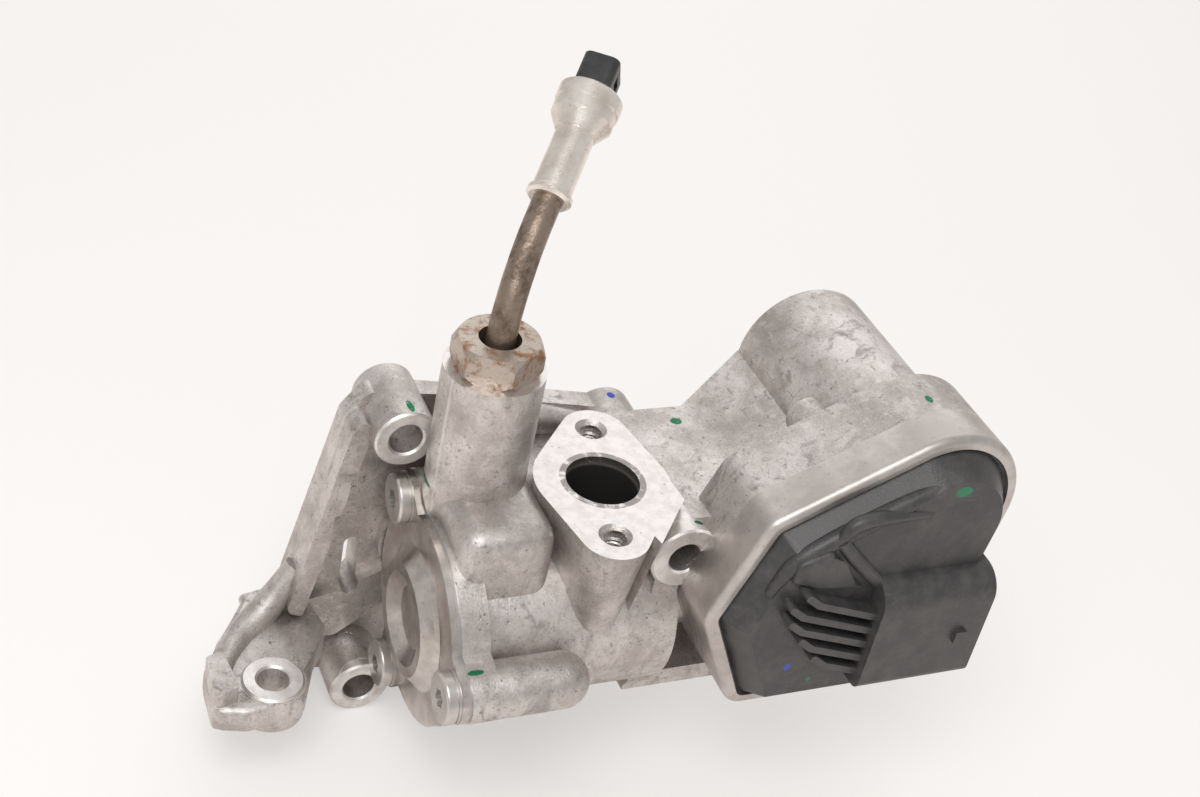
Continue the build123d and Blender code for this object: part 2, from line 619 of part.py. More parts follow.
def involute(base_r, radius, start):
    """Point of an involute at the given radius; start turns the whole curve."""
    roll = math.sqrt(max((radius / base_r) ** 2 - 1, 0))
    angle = start + roll - math.atan(roll)
    return (radius * math.cos(angle), radius * math.sin(angle))


def gear_face(module, teeth, first=0, count=None):
    """Spur gear with involute teeth on the angles first, first + 1 ... of its pitch."""
    pitch_r = module * teeth / 2
    base_r = pitch_r * math.cos(PRESSURE)
    tip_r = pitch_r + 0.8 * module
    root_r = pitch_r - 1.15 * module
    flank_angle = math.tan(PRESSURE) - PRESSURE
    half = math.pi / (2 * teeth) - BACKLASH / 4 / pitch_r
    low_r = max(base_r, root_r)
    radii = [low_r + (tip_r - low_r) * k / 3 for k in range(4)]
    points = []
    count = teeth if count is None else count
    for index in range(count):
        middle = 2 * math.pi * (first + index) / teeth
        start = -half - flank_angle
        left = [involute(base_r, r, start) for r in radii]
        right = [(x, -y) for x, y in reversed(left)]
        foot = [(root_r * math.cos(start), root_r * math.sin(start))]
        tooth = foot + left + right + [(foot[0][0], -foot[0][1])]
        for x, y in tooth:
            points.append((x * math.cos(middle) - y * math.sin(middle),
                           x * math.sin(middle) + y * math.cos(middle)))
    if count < teeth:
        points.append((0, 0))
    return make_face(Polyline(*points, points[0]))


def gear_at(centre, turn, face, y0, y1):
    """Gear face turned in place and given its width along Y."""
    return slab_y(Pos(*centre) * Rot(0, 0, turn) * face, y0, y1)


def mesh_turn(driver_centre, driver_turn, driver_teeth, centre, teeth):
    """Turn, in degrees, that puts a gear's space where the driver has a tooth."""
    line = math.degrees(math.atan2(centre[1] - driver_centre[1], centre[0] - driver_centre[0]))
    phase = (line - driver_turn) * driver_teeth / 360
    return line + 180 - (0.5 - phase) * 360 / teeth


TO_MIDDLE = math.degrees(math.atan2(MIDDLE[1] - OUTPUT[1], MIDDLE[0] - OUTPUT[0]))
FIRST_TOOTH = -math.ceil(CAM_TURN * STAGE2[2] / 360) - 1      # counted from the one in mesh
LAST_TOOTH = 2
WHEEL_TURN = 0.0
PINION_TURN = mesh_turn(OUTPUT, TO_MIDDLE, STAGE2[2], MIDDLE, STAGE2[1])
MOTOR_PINION_TURN = mesh_turn(MIDDLE, WHEEL_TURN, STAGE1[2], MOTOR, STAGE1[1])


def output_gear():
    """Toothed sector on a round hub; at rest its last teeth are in mesh."""
    module, _, teeth = STAGE2
    face = gear_face(module, teeth, FIRST_TOOTH, LAST_TOOTH - FIRST_TOOTH + 1)
    sector = gear_at(OUTPUT, TO_MIDDLE, face, GEAR_Y0, GEAR_Y1)
    rim_r = pitch_radius(module, teeth) - 5
    pocket = Circle(rim_r) - Circle(HUB_R + 2)
    for turn in (14, -17, -48, -79, -112):
        pocket -= Rot(0, 0, TO_MIDDLE + turn) * Pos(15, 0) * Rectangle(30, 3)
    sector -= slab_y(Pos(*OUTPUT) * pocket, GEAR_Y0 - 1, GEAR_Y0 + 3)
    hub = cyl_y(HUB_R, HUB_Y0, HUB_Y1, OUTPUT)
    return sector + hub - cyl_y(SHAFT_R, -60, 20, OUTPUT)


def position_magnet():
    ring = cyl_y(HUB_R - 0.6, HUB_Y0 - MAGNET_T, HUB_Y0, OUTPUT)
    return ring - cyl_y(SHAFT_R, -60, 20, OUTPUT)


def intermediate_gear():
    """Large wheel and small pinion in one moulding."""
    wheel = gear_at(MIDDLE, WHEEL_TURN, gear_face(STAGE1[0], STAGE1[2]), WHEEL_Y0, WHEEL_Y1)
    groove = Pos(*MIDDLE) * (Circle(14) - Circle(8))
    wheel -= slab_y(groove, WHEEL_Y0 - 1, WHEEL_Y0 + 1.5)
    pinion = gear_at(MIDDLE, PINION_TURN, gear_face(STAGE2[0], STAGE2[1]), WHEEL_Y1, GEAR_Y1 + 1)
    hub = cyl_y(4.2, WHEEL_Y0 - 1, PAN_FLOOR_Y - 0.5, MIDDLE)
    return wheel + pinion + hub - cyl_y(AXLE_R + FIT, -60, 20, MIDDLE)


def intermediate_axle():
    return cyl_y(AXLE_R, AXLE_Y0, PAN_FLOOR_Y + AXLE_SEAT, MIDDLE)


# ---- motor --------------------------------------------------------------------------------
def motor_can():
    """Drawn steel can with its rear bearing cup."""
    can = cyl_y(MOTOR_R, CAN_Y0, CAN_Y1, MOTOR)
    rear = can.edges().filter_by(GeomType.CIRCLE).sort_by(Axis.Y)[-1]
    cup = fillet(rear, 2)
    cup += cyl_y(6, CAN_Y1 - 6, CAN_Y1, MOTOR)
    return cup - cyl_y(MOTOR_R - 1.2, CAN_Y0 - 1, CAN_Y1 - 1.5, MOTOR)


def motor_end_cap():
    """Front plate with its bearing boss and the two ears that are screwed down."""
    face = Pos(*MOTOR) * Circle(MOTOR_R)
    for screw in MOTOR_SCREWS:
        face += make_hull((Pos(*screw) * Circle(3.4) + Pos(*MOTOR) * Circle(12)).edges())
    plate = slab_y(face, CAN_Y0 - END_T, CAN_Y0)
    plate += cyl_y(5.5, CAN_Y0 - END_T - 2.5, CAN_Y0, MOTOR)
    for screw in MOTOR_SCREWS:
        plate -= cyl_y(MOTOR_SCREW_R, -60, 20, screw)
    for side in (0, 180):
        slot = Pos(*on_circle(MOTOR, 11, side + 15)) * Rot(0, 0, side + 15) * Rectangle(3, 7)
        plate -= slab_y(slot, -60, 20)
    return plate - cyl_y(MOTOR_SHAFT_R + FIT, -60, 20, MOTOR)


def motor_screws():
    pieces = []
    for screw in MOTOR_SCREWS:
        head_y = CAN_Y0 - END_T - 2.2
        head = cyl_y(2.9, head_y, CAN_Y0 - END_T, screw)
        shank = cyl_y(MOTOR_SCREW_R, CAN_Y0 - END_T, PAN_FLOOR_Y + PAN_FLOOR_T - 1, screw)
        socket = Pos(screw[0], head_y, screw[1]) * Rot(90, 0, 0) * star_socket(1.5, 1.3)
        pieces.append(head + shank - socket)
    return Compound(children=pieces)


def motor_shaft():
    return cyl_y(MOTOR_SHAFT_R, MOTOR_PINION_Y0 - 0.8, CAN_Y1 - 2, MOTOR)


def motor_pinion():
    gear = gear_at(MOTOR, MOTOR_PINION_TURN, gear_face(STAGE1[0], STAGE1[1]),
                   MOTOR_PINION_Y0, MOTOR_PINION_Y0 + 7)
    return gear - cyl_y(MOTOR_SHAFT_R, -60, 60, MOTOR)


# ---- gearbox cover ------------------------------------------------------------------------
def crimp_ring():
    """Stamped ring: a side wall with a lip rolled over the cover's flange."""
    ring = slab_y(pan_outline(), RING_Y0, RING_Y1)
    ring = fillet(ring.faces().sort_by(Axis.Y)[0].edges(), 2.2)
    ring -= slab_y(pan_outline(RING_T), COVER_FLANGE_Y0, RING_Y1 + 1)
    return ring - slab_y(pan_outline(LIP_W), RING_Y0 - 1, RING_Y1)


def connector_section(inset):
    """Rounded section of the connector shroud, drawn in Y and Z."""
    z0, z1 = CONNECTOR_Z
    y0, y1 = CONNECTOR_Y
    corners = [(y0 + inset, z0 + inset), (y1 - inset, z0 + inset), (y1 - inset, z1 - inset),
               (y0 + inset, z1 - inset)]
    return outline(corners, [max(r - inset, 0.5) for r in (3, 2, 3, 8)])


def bar_face(a, b, width):
    """Round-ended bar between two points, drawn in X and Z."""
    return make_hull((Pos(*a) * Circle(width / 2) + Pos(*b) * Circle(width / 2)).edges())


def cooling_fins():
    """Louvres beside the connector; each one bends up at its left end."""
    fins = None
    for index, start_x in enumerate(FIN_STARTS):
        right = (71.5, FIN_TOP_Z - 13 - index * FIN_PITCH)
        left = (start_x, right[1] + (71.5 - start_x) * 0.38)
        tail = (left[0] - 4, left[1] + 3.2)
        fin = slab_y(bar_face(left, right, FIN_W) + bar_face(left, tail, FIN_W), FIN_Y0, PLATEAU_Y)
        fins = fin if fins is None else fins + fin
    return fins


def gearbox_cover():
    """Moulded cover: flange, bevelled plateau, fins, inner bearings and connector shroud."""
    height = COVER_FLANGE_Y0 - PLATEAU_Y
    body = slab_y(pan_outline(RING_T + 0.3), COVER_FLANGE_Y0, COVER_FLANGE_Y1)
    body += raise_y(pan_outline(LIP_W + 0.8), COVER_FLANGE_Y0, height, PLATEAU_INSET - LIP_W - 0.8)
    room = slab_y(pan_outline(PAN_WALL + 1), COVER_FLANGE_Y0, COVER_FLANGE_Y1 + 1)
    room += raise_y(pan_outline(PAN_WALL + 3), COVER_FLANGE_Y0, height - COVER_WALL, 4.0)
    body -= room
    body += slab_x(connector_section(0), *CONNECTOR_X)
    body += cooling_fins()
    body += cyl_y(8.0, PLATEAU_Y + 1, BOARD_Y, OUTPUT)
    body += cyl_y(5.0, PLATEAU_Y + 1, AXLE_Y0 + 3, MIDDLE)
    body -= cyl_y(BUSH_R, SHAFT_Y0 - 0.5, BOARD_Y + 1, OUTPUT)
    body -= cyl_y(AXLE_R, AXLE_Y0, AXLE_Y0 + 4, MIDDLE)
    body -= slab_x(connector_section(SHROUD_T), CONNECTOR_X[1] - CONNECTOR_DEPTH, CONNECTOR_X[1] + 1)
    for spot in PIN_SPOTS:
        body -= pin_bar(spot)
    latch = block(CONNECTOR_X[1] - 10, CONNECTOR_X[1] - 6.5, CONNECTOR_Y[0] - 1.4, CONNECTOR_Y[0] + 1,
                  -28, -24)
    return body + latch


def raise_y(face, y0, height, inset):
    """Bevelled block that rises from y0 towards -Y and narrows by inset on every side."""
    taper = math.degrees(math.atan2(inset, height))
    return extrude(Plane.XZ.offset(-y0) * face, amount=height, taper=taper)


def pin_bar(spot):
    """Flat blade of the connector."""
    y, z = spot
    return block(CONNECTOR_X[1] - CONNECTOR_DEPTH - 6, CONNECTOR_X[1] - 6, y - 0.4, y + 0.4,
                 z - 1.0, z + 1.0)


def connector_pins():
    return Compound(children=[pin_bar(spot) for spot in PIN_SPOTS])


def gearbox_seal():
    face = pan_outline(RING_T + 0.6) - pan_outline(PAN_WALL - 0.2)
    return slab_y(face, COVER_FLANGE_Y1, PAN_OPEN_Y)


def position_sensor_board():
    """Board of the position sensor, held against the bearing boss of the cover."""
    face = outline([(52, -50), (90, -50), (90, -24), (52, -24)], [2, 2, 2, 2])
    board = slab_y(face, BOARD_Y, BOARD_Y + BOARD_T)
    return board - cyl_y(SHAFT_R + 0.6, -60, 20, OUTPUT)


# ---- sensor on its bent tube --------------------------------------------------------------
def tube_path(start_z, end_l):
    """Straight up, one bend, straight on."""
    heading = math.radians(TUBE_HEADING)
    side = Vector(math.cos(heading), math.sin(heading), 0)
    up = Vector(0, 0, 1)
    foot = Vector(SENSOR[0], SENSOR[1], 0)
    turn = math.radians(TUBE_BEND_ANGLE)
    bend_start = foot + up * TUBE_BEND_Z
    centre = bend_start + side * TUBE_BEND_R
    middle = centre - side * TUBE_BEND_R * math.cos(turn / 2) + up * TUBE_BEND_R * math.sin(turn / 2)
    bend_end = centre - side * TUBE_BEND_R * math.cos(turn) + up * TUBE_BEND_R * math.sin(turn)
    along = side * math.sin(turn) + up * math.cos(turn)
    first = Line(foot + up * start_z, bend_start)
    bend = ThreePointArc(bend_start, middle, bend_end)
    return first + bend + Line(bend_end, bend_end + along * end_l)


def tube_end_plane(station):
    """Plane across the straight end of the tube, its Z along the tube."""
    path = tube_path(0, 1)
    along = path % 1
    return Plane(origin=(path @ 1) + along * (station - 1), x_dir=(0, 0, 1), z_dir=along)


def along_tube(profile):
    """Turned piece round the tube's end, from (radius, station) points."""
    face = make_face(Plane.XZ * Polyline(*profile, profile[0]))
    return tube_end_plane(0).location * revolve(face, Axis.Z)


def gland_nut():
    """Hexagonal gland with a threaded spigot."""
    hexagon = RegularPolygon(NUT_AF / 2, 6, major_radius=False, rotation=30)
    body = extrude(hexagon, amount=NUT_H)
    body &= Pos(0, 0, NUT_H - 6) * Cone(NUT_AF / 2 + 7, NUT_AF / 2, 12)
    body &= Pos(0, 0, 5.9) * Cone(NUT_AF / 2 + 0.5, NUT_AF / 2 + 7.5, 12)
    body += Pos(0, 0, -NUT_SPIGOT_L / 2) * Cylinder(NUT_SPIGOT_R, NUT_SPIGOT_L)
    body -= Cylinder(NUT_BORE_R, 60)
    return Pos(SENSOR[0], SENSOR[1], SENSOR_BOSS_Z) * body


def sensor_ferrule():
    z0 = SENSOR_BOSS_Z - NUT_SPIGOT_L - FERRULE_T
    return cyl_z(FERRULE_R, z0, z0 + FERRULE_T, SENSOR) - cyl_z(TUBE_R, z0 - 1, 60, SENSOR)


def sensor_probe():
    top = SENSOR_BOSS_Z - NUT_SPIGOT_L - FERRULE_T
    probe = cyl_z(PROBE_R, PROBE_TIP_Z, top, SENSOR)
    tip = probe.edges().filter_by(GeomType.CIRCLE).sort_by(Axis.Z)[0]
    return fillet(tip, PROBE_R - 0.2) + cyl_z(TUBE_R, top - 3, top, SENSOR)


def sensor_tube():
    path = tube_path(SENSOR_BOSS_Z - NUT_SPIGOT_L - FERRULE_T, TUBE_END_L)
    section = Plane(origin=path @ 0, z_dir=(0, 0, 1)) * (Circle(TUBE_R) - Circle(TUBE_BORE_R))
    return sweep(section, path=path)


def sensor_crimp_sleeve():
    """Sleeve pressed on the tube, beaded at its mouth."""
    s0, s1 = SLEEVE
    profile = [(TUBE_R, s0), (SLEEVE_R, s0), (SLEEVE_R + 0.9, s0 + 0.8), (SLEEVE_R + 0.9, s0 + 2),
               (SLEEVE_R, s0 + 2.8), (SLEEVE_R, s1), (SLEEVE_R - 1.2, s1), (SLEEVE_R - 1.2, 16),
               (TUBE_R, 16)]
    return along_tube(profile)


def sensor_head():
    """Drawn cup between sleeve and plug."""
    s0, s1 = HEAD
    profile = [(0, s0), (SLEEVE_R + 0.3, s0), (HEAD_R - 0.4, s0 + 4.5), (HEAD_R - 0.4, s0 + 8),
               (HEAD_R, s0 + 8.6), (HEAD_R, s1 - 0.5), (HEAD_R - 0.5, s1), (0, s1)]
    return along_tube(profile)


def plug_block(long, short, s0, s1, corner):
    """Rounded rectangle between two stations of the tube's end."""
    return extrude(tube_end_plane(s0) * RectangleRounded(long, short, corner), amount=s1 - s0)


def sensor_plug():
    """Plug socket with a latch window in its upper wall."""
    long, short = PLUG_SIZE
    inner = (long - 2 * PLUG_WALL, short - 2 * PLUG_WALL)
    body = plug_block(long, short, HEAD[1], PLUG_END, 2.4)
    body -= plug_block(*inner, PLUG_END - PLUG_DEPTH, PLUG_END + 1, 1.4)
    window = Pos(0, short / 2, 0) * Box(5, 4, 3)
    body -= tube_end_plane(PLUG_END - 4).location * window
    for side in (-1, 1):
        body -= plug_pin(side)
    return body


def plug_pin(side):
    pin = Pos(side * 2.6, 0, 0) * Cylinder(0.7, PLUG_DEPTH + 0.5)
    return tube_end_plane(PLUG_END - PLUG_DEPTH / 2 - 1.5).location * pin


def sensor_pins():
    return Compound(children=[plug_pin(side) for side in (-1, 1)])


NODES = [
    main_housing, cover_plate, cover_gasket, cover_screws, valve_seat, valve_disc, valve_stem,
    stem_bush, stem_seal, stem_fork, roller_pin, cam_roller, return_spring, spring_retainer,
    cam_disc, output_shaft, output_gear, output_bushes, position_magnet, position_sensor_board,
    intermediate_axle, intermediate_gear, motor_can, motor_end_cap, motor_screws, motor_shaft,
    motor_pinion, crimp_ring, gearbox_cover, gearbox_seal, connector_pins, gland_nut,
    sensor_ferrule, sensor_probe, sensor_tube, sensor_crimp_sleeve, sensor_head, sensor_plug,
    sensor_pins,
]

if __name__ == "__main__":
    for node in NODES:
        export_step(node(), f"parts/{node.__name__}.step")
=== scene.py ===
# %% [markdown]
# # An exhaust gas recirculation valve
# The valve lets a measured amount of exhaust gas back into the engine. The imported model fixes its
# main shapes, and this file dresses them. It gives every node a finish with its wear and pen marks,
# lays the softer forms of the casting and the ribs of the black cover over it, adds threads and a
# stand-in copy of the spring, and sets the floor, the light and the camera.
# Everything is in metres and in the frame of the model: +Z leaves along the top gas port, +X points
# to the actuator and -Y is the side of the black gearbox cover.

# %% Load the model
import math

import bmesh
import bpy
from mathutils import Matrix, Vector


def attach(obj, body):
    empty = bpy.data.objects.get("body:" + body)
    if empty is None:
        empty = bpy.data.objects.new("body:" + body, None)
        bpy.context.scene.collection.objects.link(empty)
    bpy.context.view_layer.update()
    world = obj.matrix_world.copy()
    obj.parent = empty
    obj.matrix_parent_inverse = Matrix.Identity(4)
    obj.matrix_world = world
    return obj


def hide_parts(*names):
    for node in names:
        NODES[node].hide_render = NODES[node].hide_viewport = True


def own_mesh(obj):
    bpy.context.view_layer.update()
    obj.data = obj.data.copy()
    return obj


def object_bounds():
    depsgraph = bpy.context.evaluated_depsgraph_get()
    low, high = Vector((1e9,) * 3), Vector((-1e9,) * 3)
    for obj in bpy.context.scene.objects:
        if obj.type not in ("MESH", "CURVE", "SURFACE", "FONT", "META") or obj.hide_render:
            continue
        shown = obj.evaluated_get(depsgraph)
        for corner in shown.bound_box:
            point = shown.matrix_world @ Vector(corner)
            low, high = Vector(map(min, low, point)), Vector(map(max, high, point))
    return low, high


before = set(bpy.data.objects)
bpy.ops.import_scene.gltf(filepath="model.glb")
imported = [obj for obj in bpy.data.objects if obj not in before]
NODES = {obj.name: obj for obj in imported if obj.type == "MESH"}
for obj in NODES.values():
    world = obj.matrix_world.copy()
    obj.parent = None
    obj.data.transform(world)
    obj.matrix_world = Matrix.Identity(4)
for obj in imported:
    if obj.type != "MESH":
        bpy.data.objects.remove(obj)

MM = 0.001
cad_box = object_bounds()
print(len(NODES), "nodes, box", [[round(v, 4) for v in corner] for corner in cad_box])

# %% [markdown]
# ## Shader maths that reads like maths
# A finish such as "darker where it is rough, but not on the machined faces" is a formula. Blender
# writes it as a chain of Math nodes, which is hard to read back. The small class here wraps a
# socket, so that `rough * 0.4 + 0.1` adds those nodes. Every other node, in a finish, a thread, the
# floor or the room, comes from one function. It takes the kind of node, its settings, and the
# values or links of its sockets.

# %% A node and a value
def add_node(tree, kind, settings=None, inputs=None):
    """Adds one node: first its settings, then the values or links of its sockets."""
    node = tree.nodes.new(kind)
    for key, value in (settings or {}).items():
        setattr(node, key, value)
    for key, value in (inputs or {}).items():
        if isinstance(value, Value):
            value = value.socket
        if isinstance(value, bpy.types.NodeSocket):
            tree.links.new(value, node.inputs[key])
        else:
            node.inputs[key].default_value = value
    return node


class Value:
    """A number that the shader works out for each point; signs between values add Math nodes."""

    def __init__(self, finish, socket):
        self.finish = finish
        self.socket = socket

    def math(self, operation, *terms):
        return self.finish.node("ShaderNodeMath", {"operation": operation}, dict(enumerate(terms)))

    def __add__(self, other):
        return self.math("ADD", self, other)

    def __radd__(self, other):
        return self.math("ADD", other, self)

    def __sub__(self, other):
        return self.math("SUBTRACT", self, other)

    def __rsub__(self, other):
        return self.math("SUBTRACT", other, self)

    def __mul__(self, other):
        return self.math("MULTIPLY", self, other)

    def __rmul__(self, other):
        return self.math("MULTIPLY", other, self)

    def __pow__(self, other):
        return self.math("POWER", self, other)

    def __rpow__(self, other):
        return self.math("POWER", other, self)

    def __abs__(self):
        return self.math("ABSOLUTE", self)

    def larger(self, other):
        return self.math("MAXIMUM", self, other)

    def ramp(self, low, high):
        """0 below low, 1 above high, and a soft step between; low may be the larger."""
        inputs = {"Value": self, "From Min": low, "From Max": high}
        return self.finish.node("ShaderNodeMapRange", {"interpolation_type": "SMOOTHSTEP"}, inputs)


# %% [markdown]
# ## A finish
# All finishes here are made of the same few things: noise of some size, scattered spots, colours
# laid over each other, and a bump. The noise reads the place of a point in the object, not an
# unwrapped map, so it has the same scale on every piece and runs on from one face to the next.

# %% A finish
FIRST_COLOR, SECOND_COLOR, MIXED_COLOR = 6, 7, 2    # sockets of a Mix node that carry colours
DAB_CORE = 0.8                                      # share of a dab's radius that is all ink


class Finish:
    """A material under construction."""

    def __init__(self, name):
        self.material = bpy.data.materials.new(name)
        self.material.use_nodes = True
        self.tree = self.material.node_tree
        self.tree.nodes.clear()
        self.place = self.node("ShaderNodeTexCoord", output="Object")
        self.facing = self.node("ShaderNodeNewGeometry", output="Normal")

    def node(self, kind, settings=None, inputs=None, output=0):
        """Adds one node and returns what one of its sockets gives."""
        return Value(self, add_node(self.tree, kind, settings, inputs).outputs[output])

    def axes(self, vector):
        """The three numbers of a vector."""
        split = add_node(self.tree, "ShaderNodeSeparateXYZ", {}, {0: vector})
        return [Value(self, split.outputs[name]) for name in "XYZ"]

    def noise(self, size, detail=4.0, rough=0.5, stretch=None, distortion=0.0):
        """Cloudy value from 0 to 1; size is that of one cloud, in metres."""
        place = self.place
        if stretch:
            place = self.node("ShaderNodeMapping", {}, {"Vector": place, "Scale": stretch})
        inputs = {"Vector": place, "Scale": 1.0 / size, "Detail": detail, "Roughness": rough,
                  "Distortion": distortion}
        return self.node("ShaderNodeTexNoise", {}, inputs)

    def spots(self, size):
        """Distance to the nearest of many scattered points, in cells."""
        inputs = {"Vector": self.place, "Scale": 1.0 / size}
        return self.node("ShaderNodeTexVoronoi", {"feature": "F1"}, inputs)

    def blend(self, factor, first, second):
        """Mix of two colours."""
        inputs = {"Factor": factor, FIRST_COLOR: first, SECOND_COLOR: second}
        return self.node("ShaderNodeMix", {"data_type": "RGBA"}, inputs, MIXED_COLOR)

    def layered(self, color, *layers):
        """Colours laid over a first one; a layer is its share, from 0 to 1, and its colour."""
        for share, ink in layers:
            color = self.blend(share, color, ink)
        return color

    def bump(self, height, depth):
        """Tilts the surface as a relief of this depth in metres would."""
        inputs = {"Height": height, "Distance": depth, "Strength": 1.0}
        return self.node("ShaderNodeBump", {}, inputs)

    def near(self, point, radius, stretch):
        """1 close to a point of the object, 0 from the radius outwards; all in millimetres."""
        moved = self.node("ShaderNodeVectorMath", {"operation": "SUBTRACT"},
                          {0: self.place, 1: Vector(point) * MM})
        scaled = self.node("ShaderNodeVectorMath", {"operation": "DIVIDE"}, {0: moved, 1: stretch})
        far = self.node("ShaderNodeVectorMath", {"operation": "LENGTH"}, {0: scaled}, "Value")
        return far.ramp(radius * MM, radius * MM * DAB_CORE)

    def done(self, color, rough, metal=0.0, normal=None):
        """Closes the finish with its shader and returns the material."""
        inputs = {"Base Color": color, "Roughness": rough, "Metallic": metal}
        if normal is not None:
            inputs["Normal"] = normal
        shader = self.node("ShaderNodeBsdfPrincipled", {}, inputs)
        add_node(self.tree, "ShaderNodeOutputMaterial", {}, {"Surface": shader})
        return self.material


def wear(names, material):
    """Puts a finish on the nodes of the model."""
    for name in names.split():
        for slot in NODES[name].material_slots:
            slot.material = material
    print(material.name, "on", names)


# %% [markdown]
# ## Where the casting is milled, marked and sooted
# The faces that a pipe or a screw head sits on are milled after casting, so they are brighter. A
# mask could be painted on the mesh, but here it is worked out from the place of a point, because
# the drawing fixes the plane that each face lies in. The pen marks of the inspector are dabs at set
# places, and the gas port is black inside, because soot settles there.

# %% Masks on the casting
GREEN = (0.012, 0.19, 0.085, 1)
BLUE = (0.05, 0.07, 0.42, 1)
FLAT_MILLED = ((2, 0.0, 1), (1, 45.0, 1), (0, -46.0, -1))   # axis, level in mm, side it looks to
ROUND_MILLED = (
    ((-86.0, 4.5), -65.0, 8.8),      # boss of the foot
    ((-32.8, 12.3), 33.0, 14.5),     # boss of the sensor
)                                    # centre, level and radius of a face that looks up, in mm
HOUSING_MARKS = (
    ((-49.5, 24.9, 11.9), 1.0, (1.1, 2.8, 2), GREEN),
    ((-46.7, 14.0, -4.5), 1.0, (1.2, 5.0, 1.0), GREEN),
    ((34.8, 26.0, -3.0), 1.0, (2.0, 1.7, 2), GREEN),
    ((84.0, -19.6, 33.6), 1.0, (1.2, 1.9, 2), GREEN),
    ((22.4, -17.9, -3.6), 1.0, (1.8, 0.9, 1.5), GREEN),
    ((-43.9, -33.9, -32.5), 1.0, (2.6, 0.9, 1.5), GREEN),
    ((19.9, 41.0, -3.1), 1.0, (1.4, 1.6, 2), BLUE),
)                                    # place, size, stretch and ink, in mm
PLANE_GAP = (0.3, 0.1)               # mm off the plane where its mask starts and where it is full
PLANE_TILT = (0.9, 0.98)             # how well a face has to look the right way for the same
ROUND_EDGE = 0.2                     # mm over which the edge of a round mask fades
PORT_BORE_R = 10.7
SOOT_DEPTH = (-1.6, -3.5)            # mm in the port where soot starts and where it is full
SMOKE_R = 12.4                       # smoky ring round the mouth of the port, mm
SMOKE_DEPTH = (-3.0, -0.5)           # mm in the port where smoke starts and where it is full


def in_mm(pair):
    """Two sizes in millimetres, as metres."""
    return [value * MM for value in pair]


def flat_at(finish, axis, level, side):
    """1 on a face that lies in one plane and looks one way; level in millimetres."""
    off = finish.axes(finish.place)[axis] - level * MM
    normal = finish.axes(finish.facing)[axis]
    return abs(off).ramp(*in_mm(PLANE_GAP)) * (normal * side).ramp(*PLANE_TILT)


def within(finish, centre, radius):
    """1 within a radius of an upright axis; all in millimetres."""
    x, y, _ = finish.axes(finish.place)
    x, y = x - centre[0] * MM, y - centre[1] * MM
    return ((x * x + y * y) ** 0.5).ramp(radius * MM, (radius - ROUND_EDGE) * MM)


def milled_faces(finish):
    """1 on every face of the casting that a cutter has dressed."""
    mask = flat_at(finish, *FLAT_MILLED[0])
    for face in FLAT_MILLED[1:]:
        mask = mask.larger(flat_at(finish, *face))
    for centre, level, radius in ROUND_MILLED:
        mask = mask.larger(flat_at(finish, 2, level, 1) * within(finish, centre, radius))
    return mask


def in_port(finish, radius, depth):
    """1 near the axis of the top gas port, rising over a range of heights; in millimetres."""
    return within(finish, (0, 0), radius) * finish.axes(finish.place)[2].ramp(*in_mm(depth))


def marked(finish, color, marks, edge):
    """Dabs of marker ink, uneven where the skin under them is."""
    for point, size, stretch, ink in marks:
        color = finish.blend(finish.near(point, size, stretch) * edge, color, ink)
    return color


print(len(FLAT_MILLED) + len(ROUND_MILLED), "milled faces,", len(HOUSING_MARKS), "pen marks")

# %% [markdown]
# ## Raw die casting
# The body comes out of a steel mould. Its skin is dull grey and cloudy, with darker smears where
# the metal cooled first and fine specks everywhere. One noise can't give all of that, so five are
# mixed: broad clouds, smears stretched along one way, blotches of a few millimetres, small flecks,
# and a fine speckle. Scattered spots make the pits. The same noises feed the colour, the roughness
# and the bump, so that a dark smear is also a dull one.

# %% Casting finish
SKIN_DULL = (0.46, 0.42, 0.395, 1)
SKIN_PLAIN = (0.70, 0.655, 0.63, 1)
SKIN_PALE = (0.80, 0.77, 0.75, 1)
SKIN_DARK = (0.30, 0.275, 0.26, 1)
SMEAR = (0.24, 0.22, 0.205, 1)
FLECK = (0.20, 0.18, 0.165, 1)
SPECK_DARK = (0.20, 0.185, 0.175, 1)
SPECK_PALE = (0.88, 0.86, 0.84, 1)
CUT_BRIGHT = (0.76, 0.725, 0.705, 1)
CUT_GREY = (0.66, 0.625, 0.605, 1)
CUT_SPECK = (0.24, 0.22, 0.21, 1)
PIT = (0.16, 0.145, 0.135, 1)
SMOKE = (0.12, 0.10, 0.09, 1)
SOOT = (0.014, 0.012, 0.011, 1)
CAST_METAL = 0.88
CAST_RELIEF = 0.26 * MM


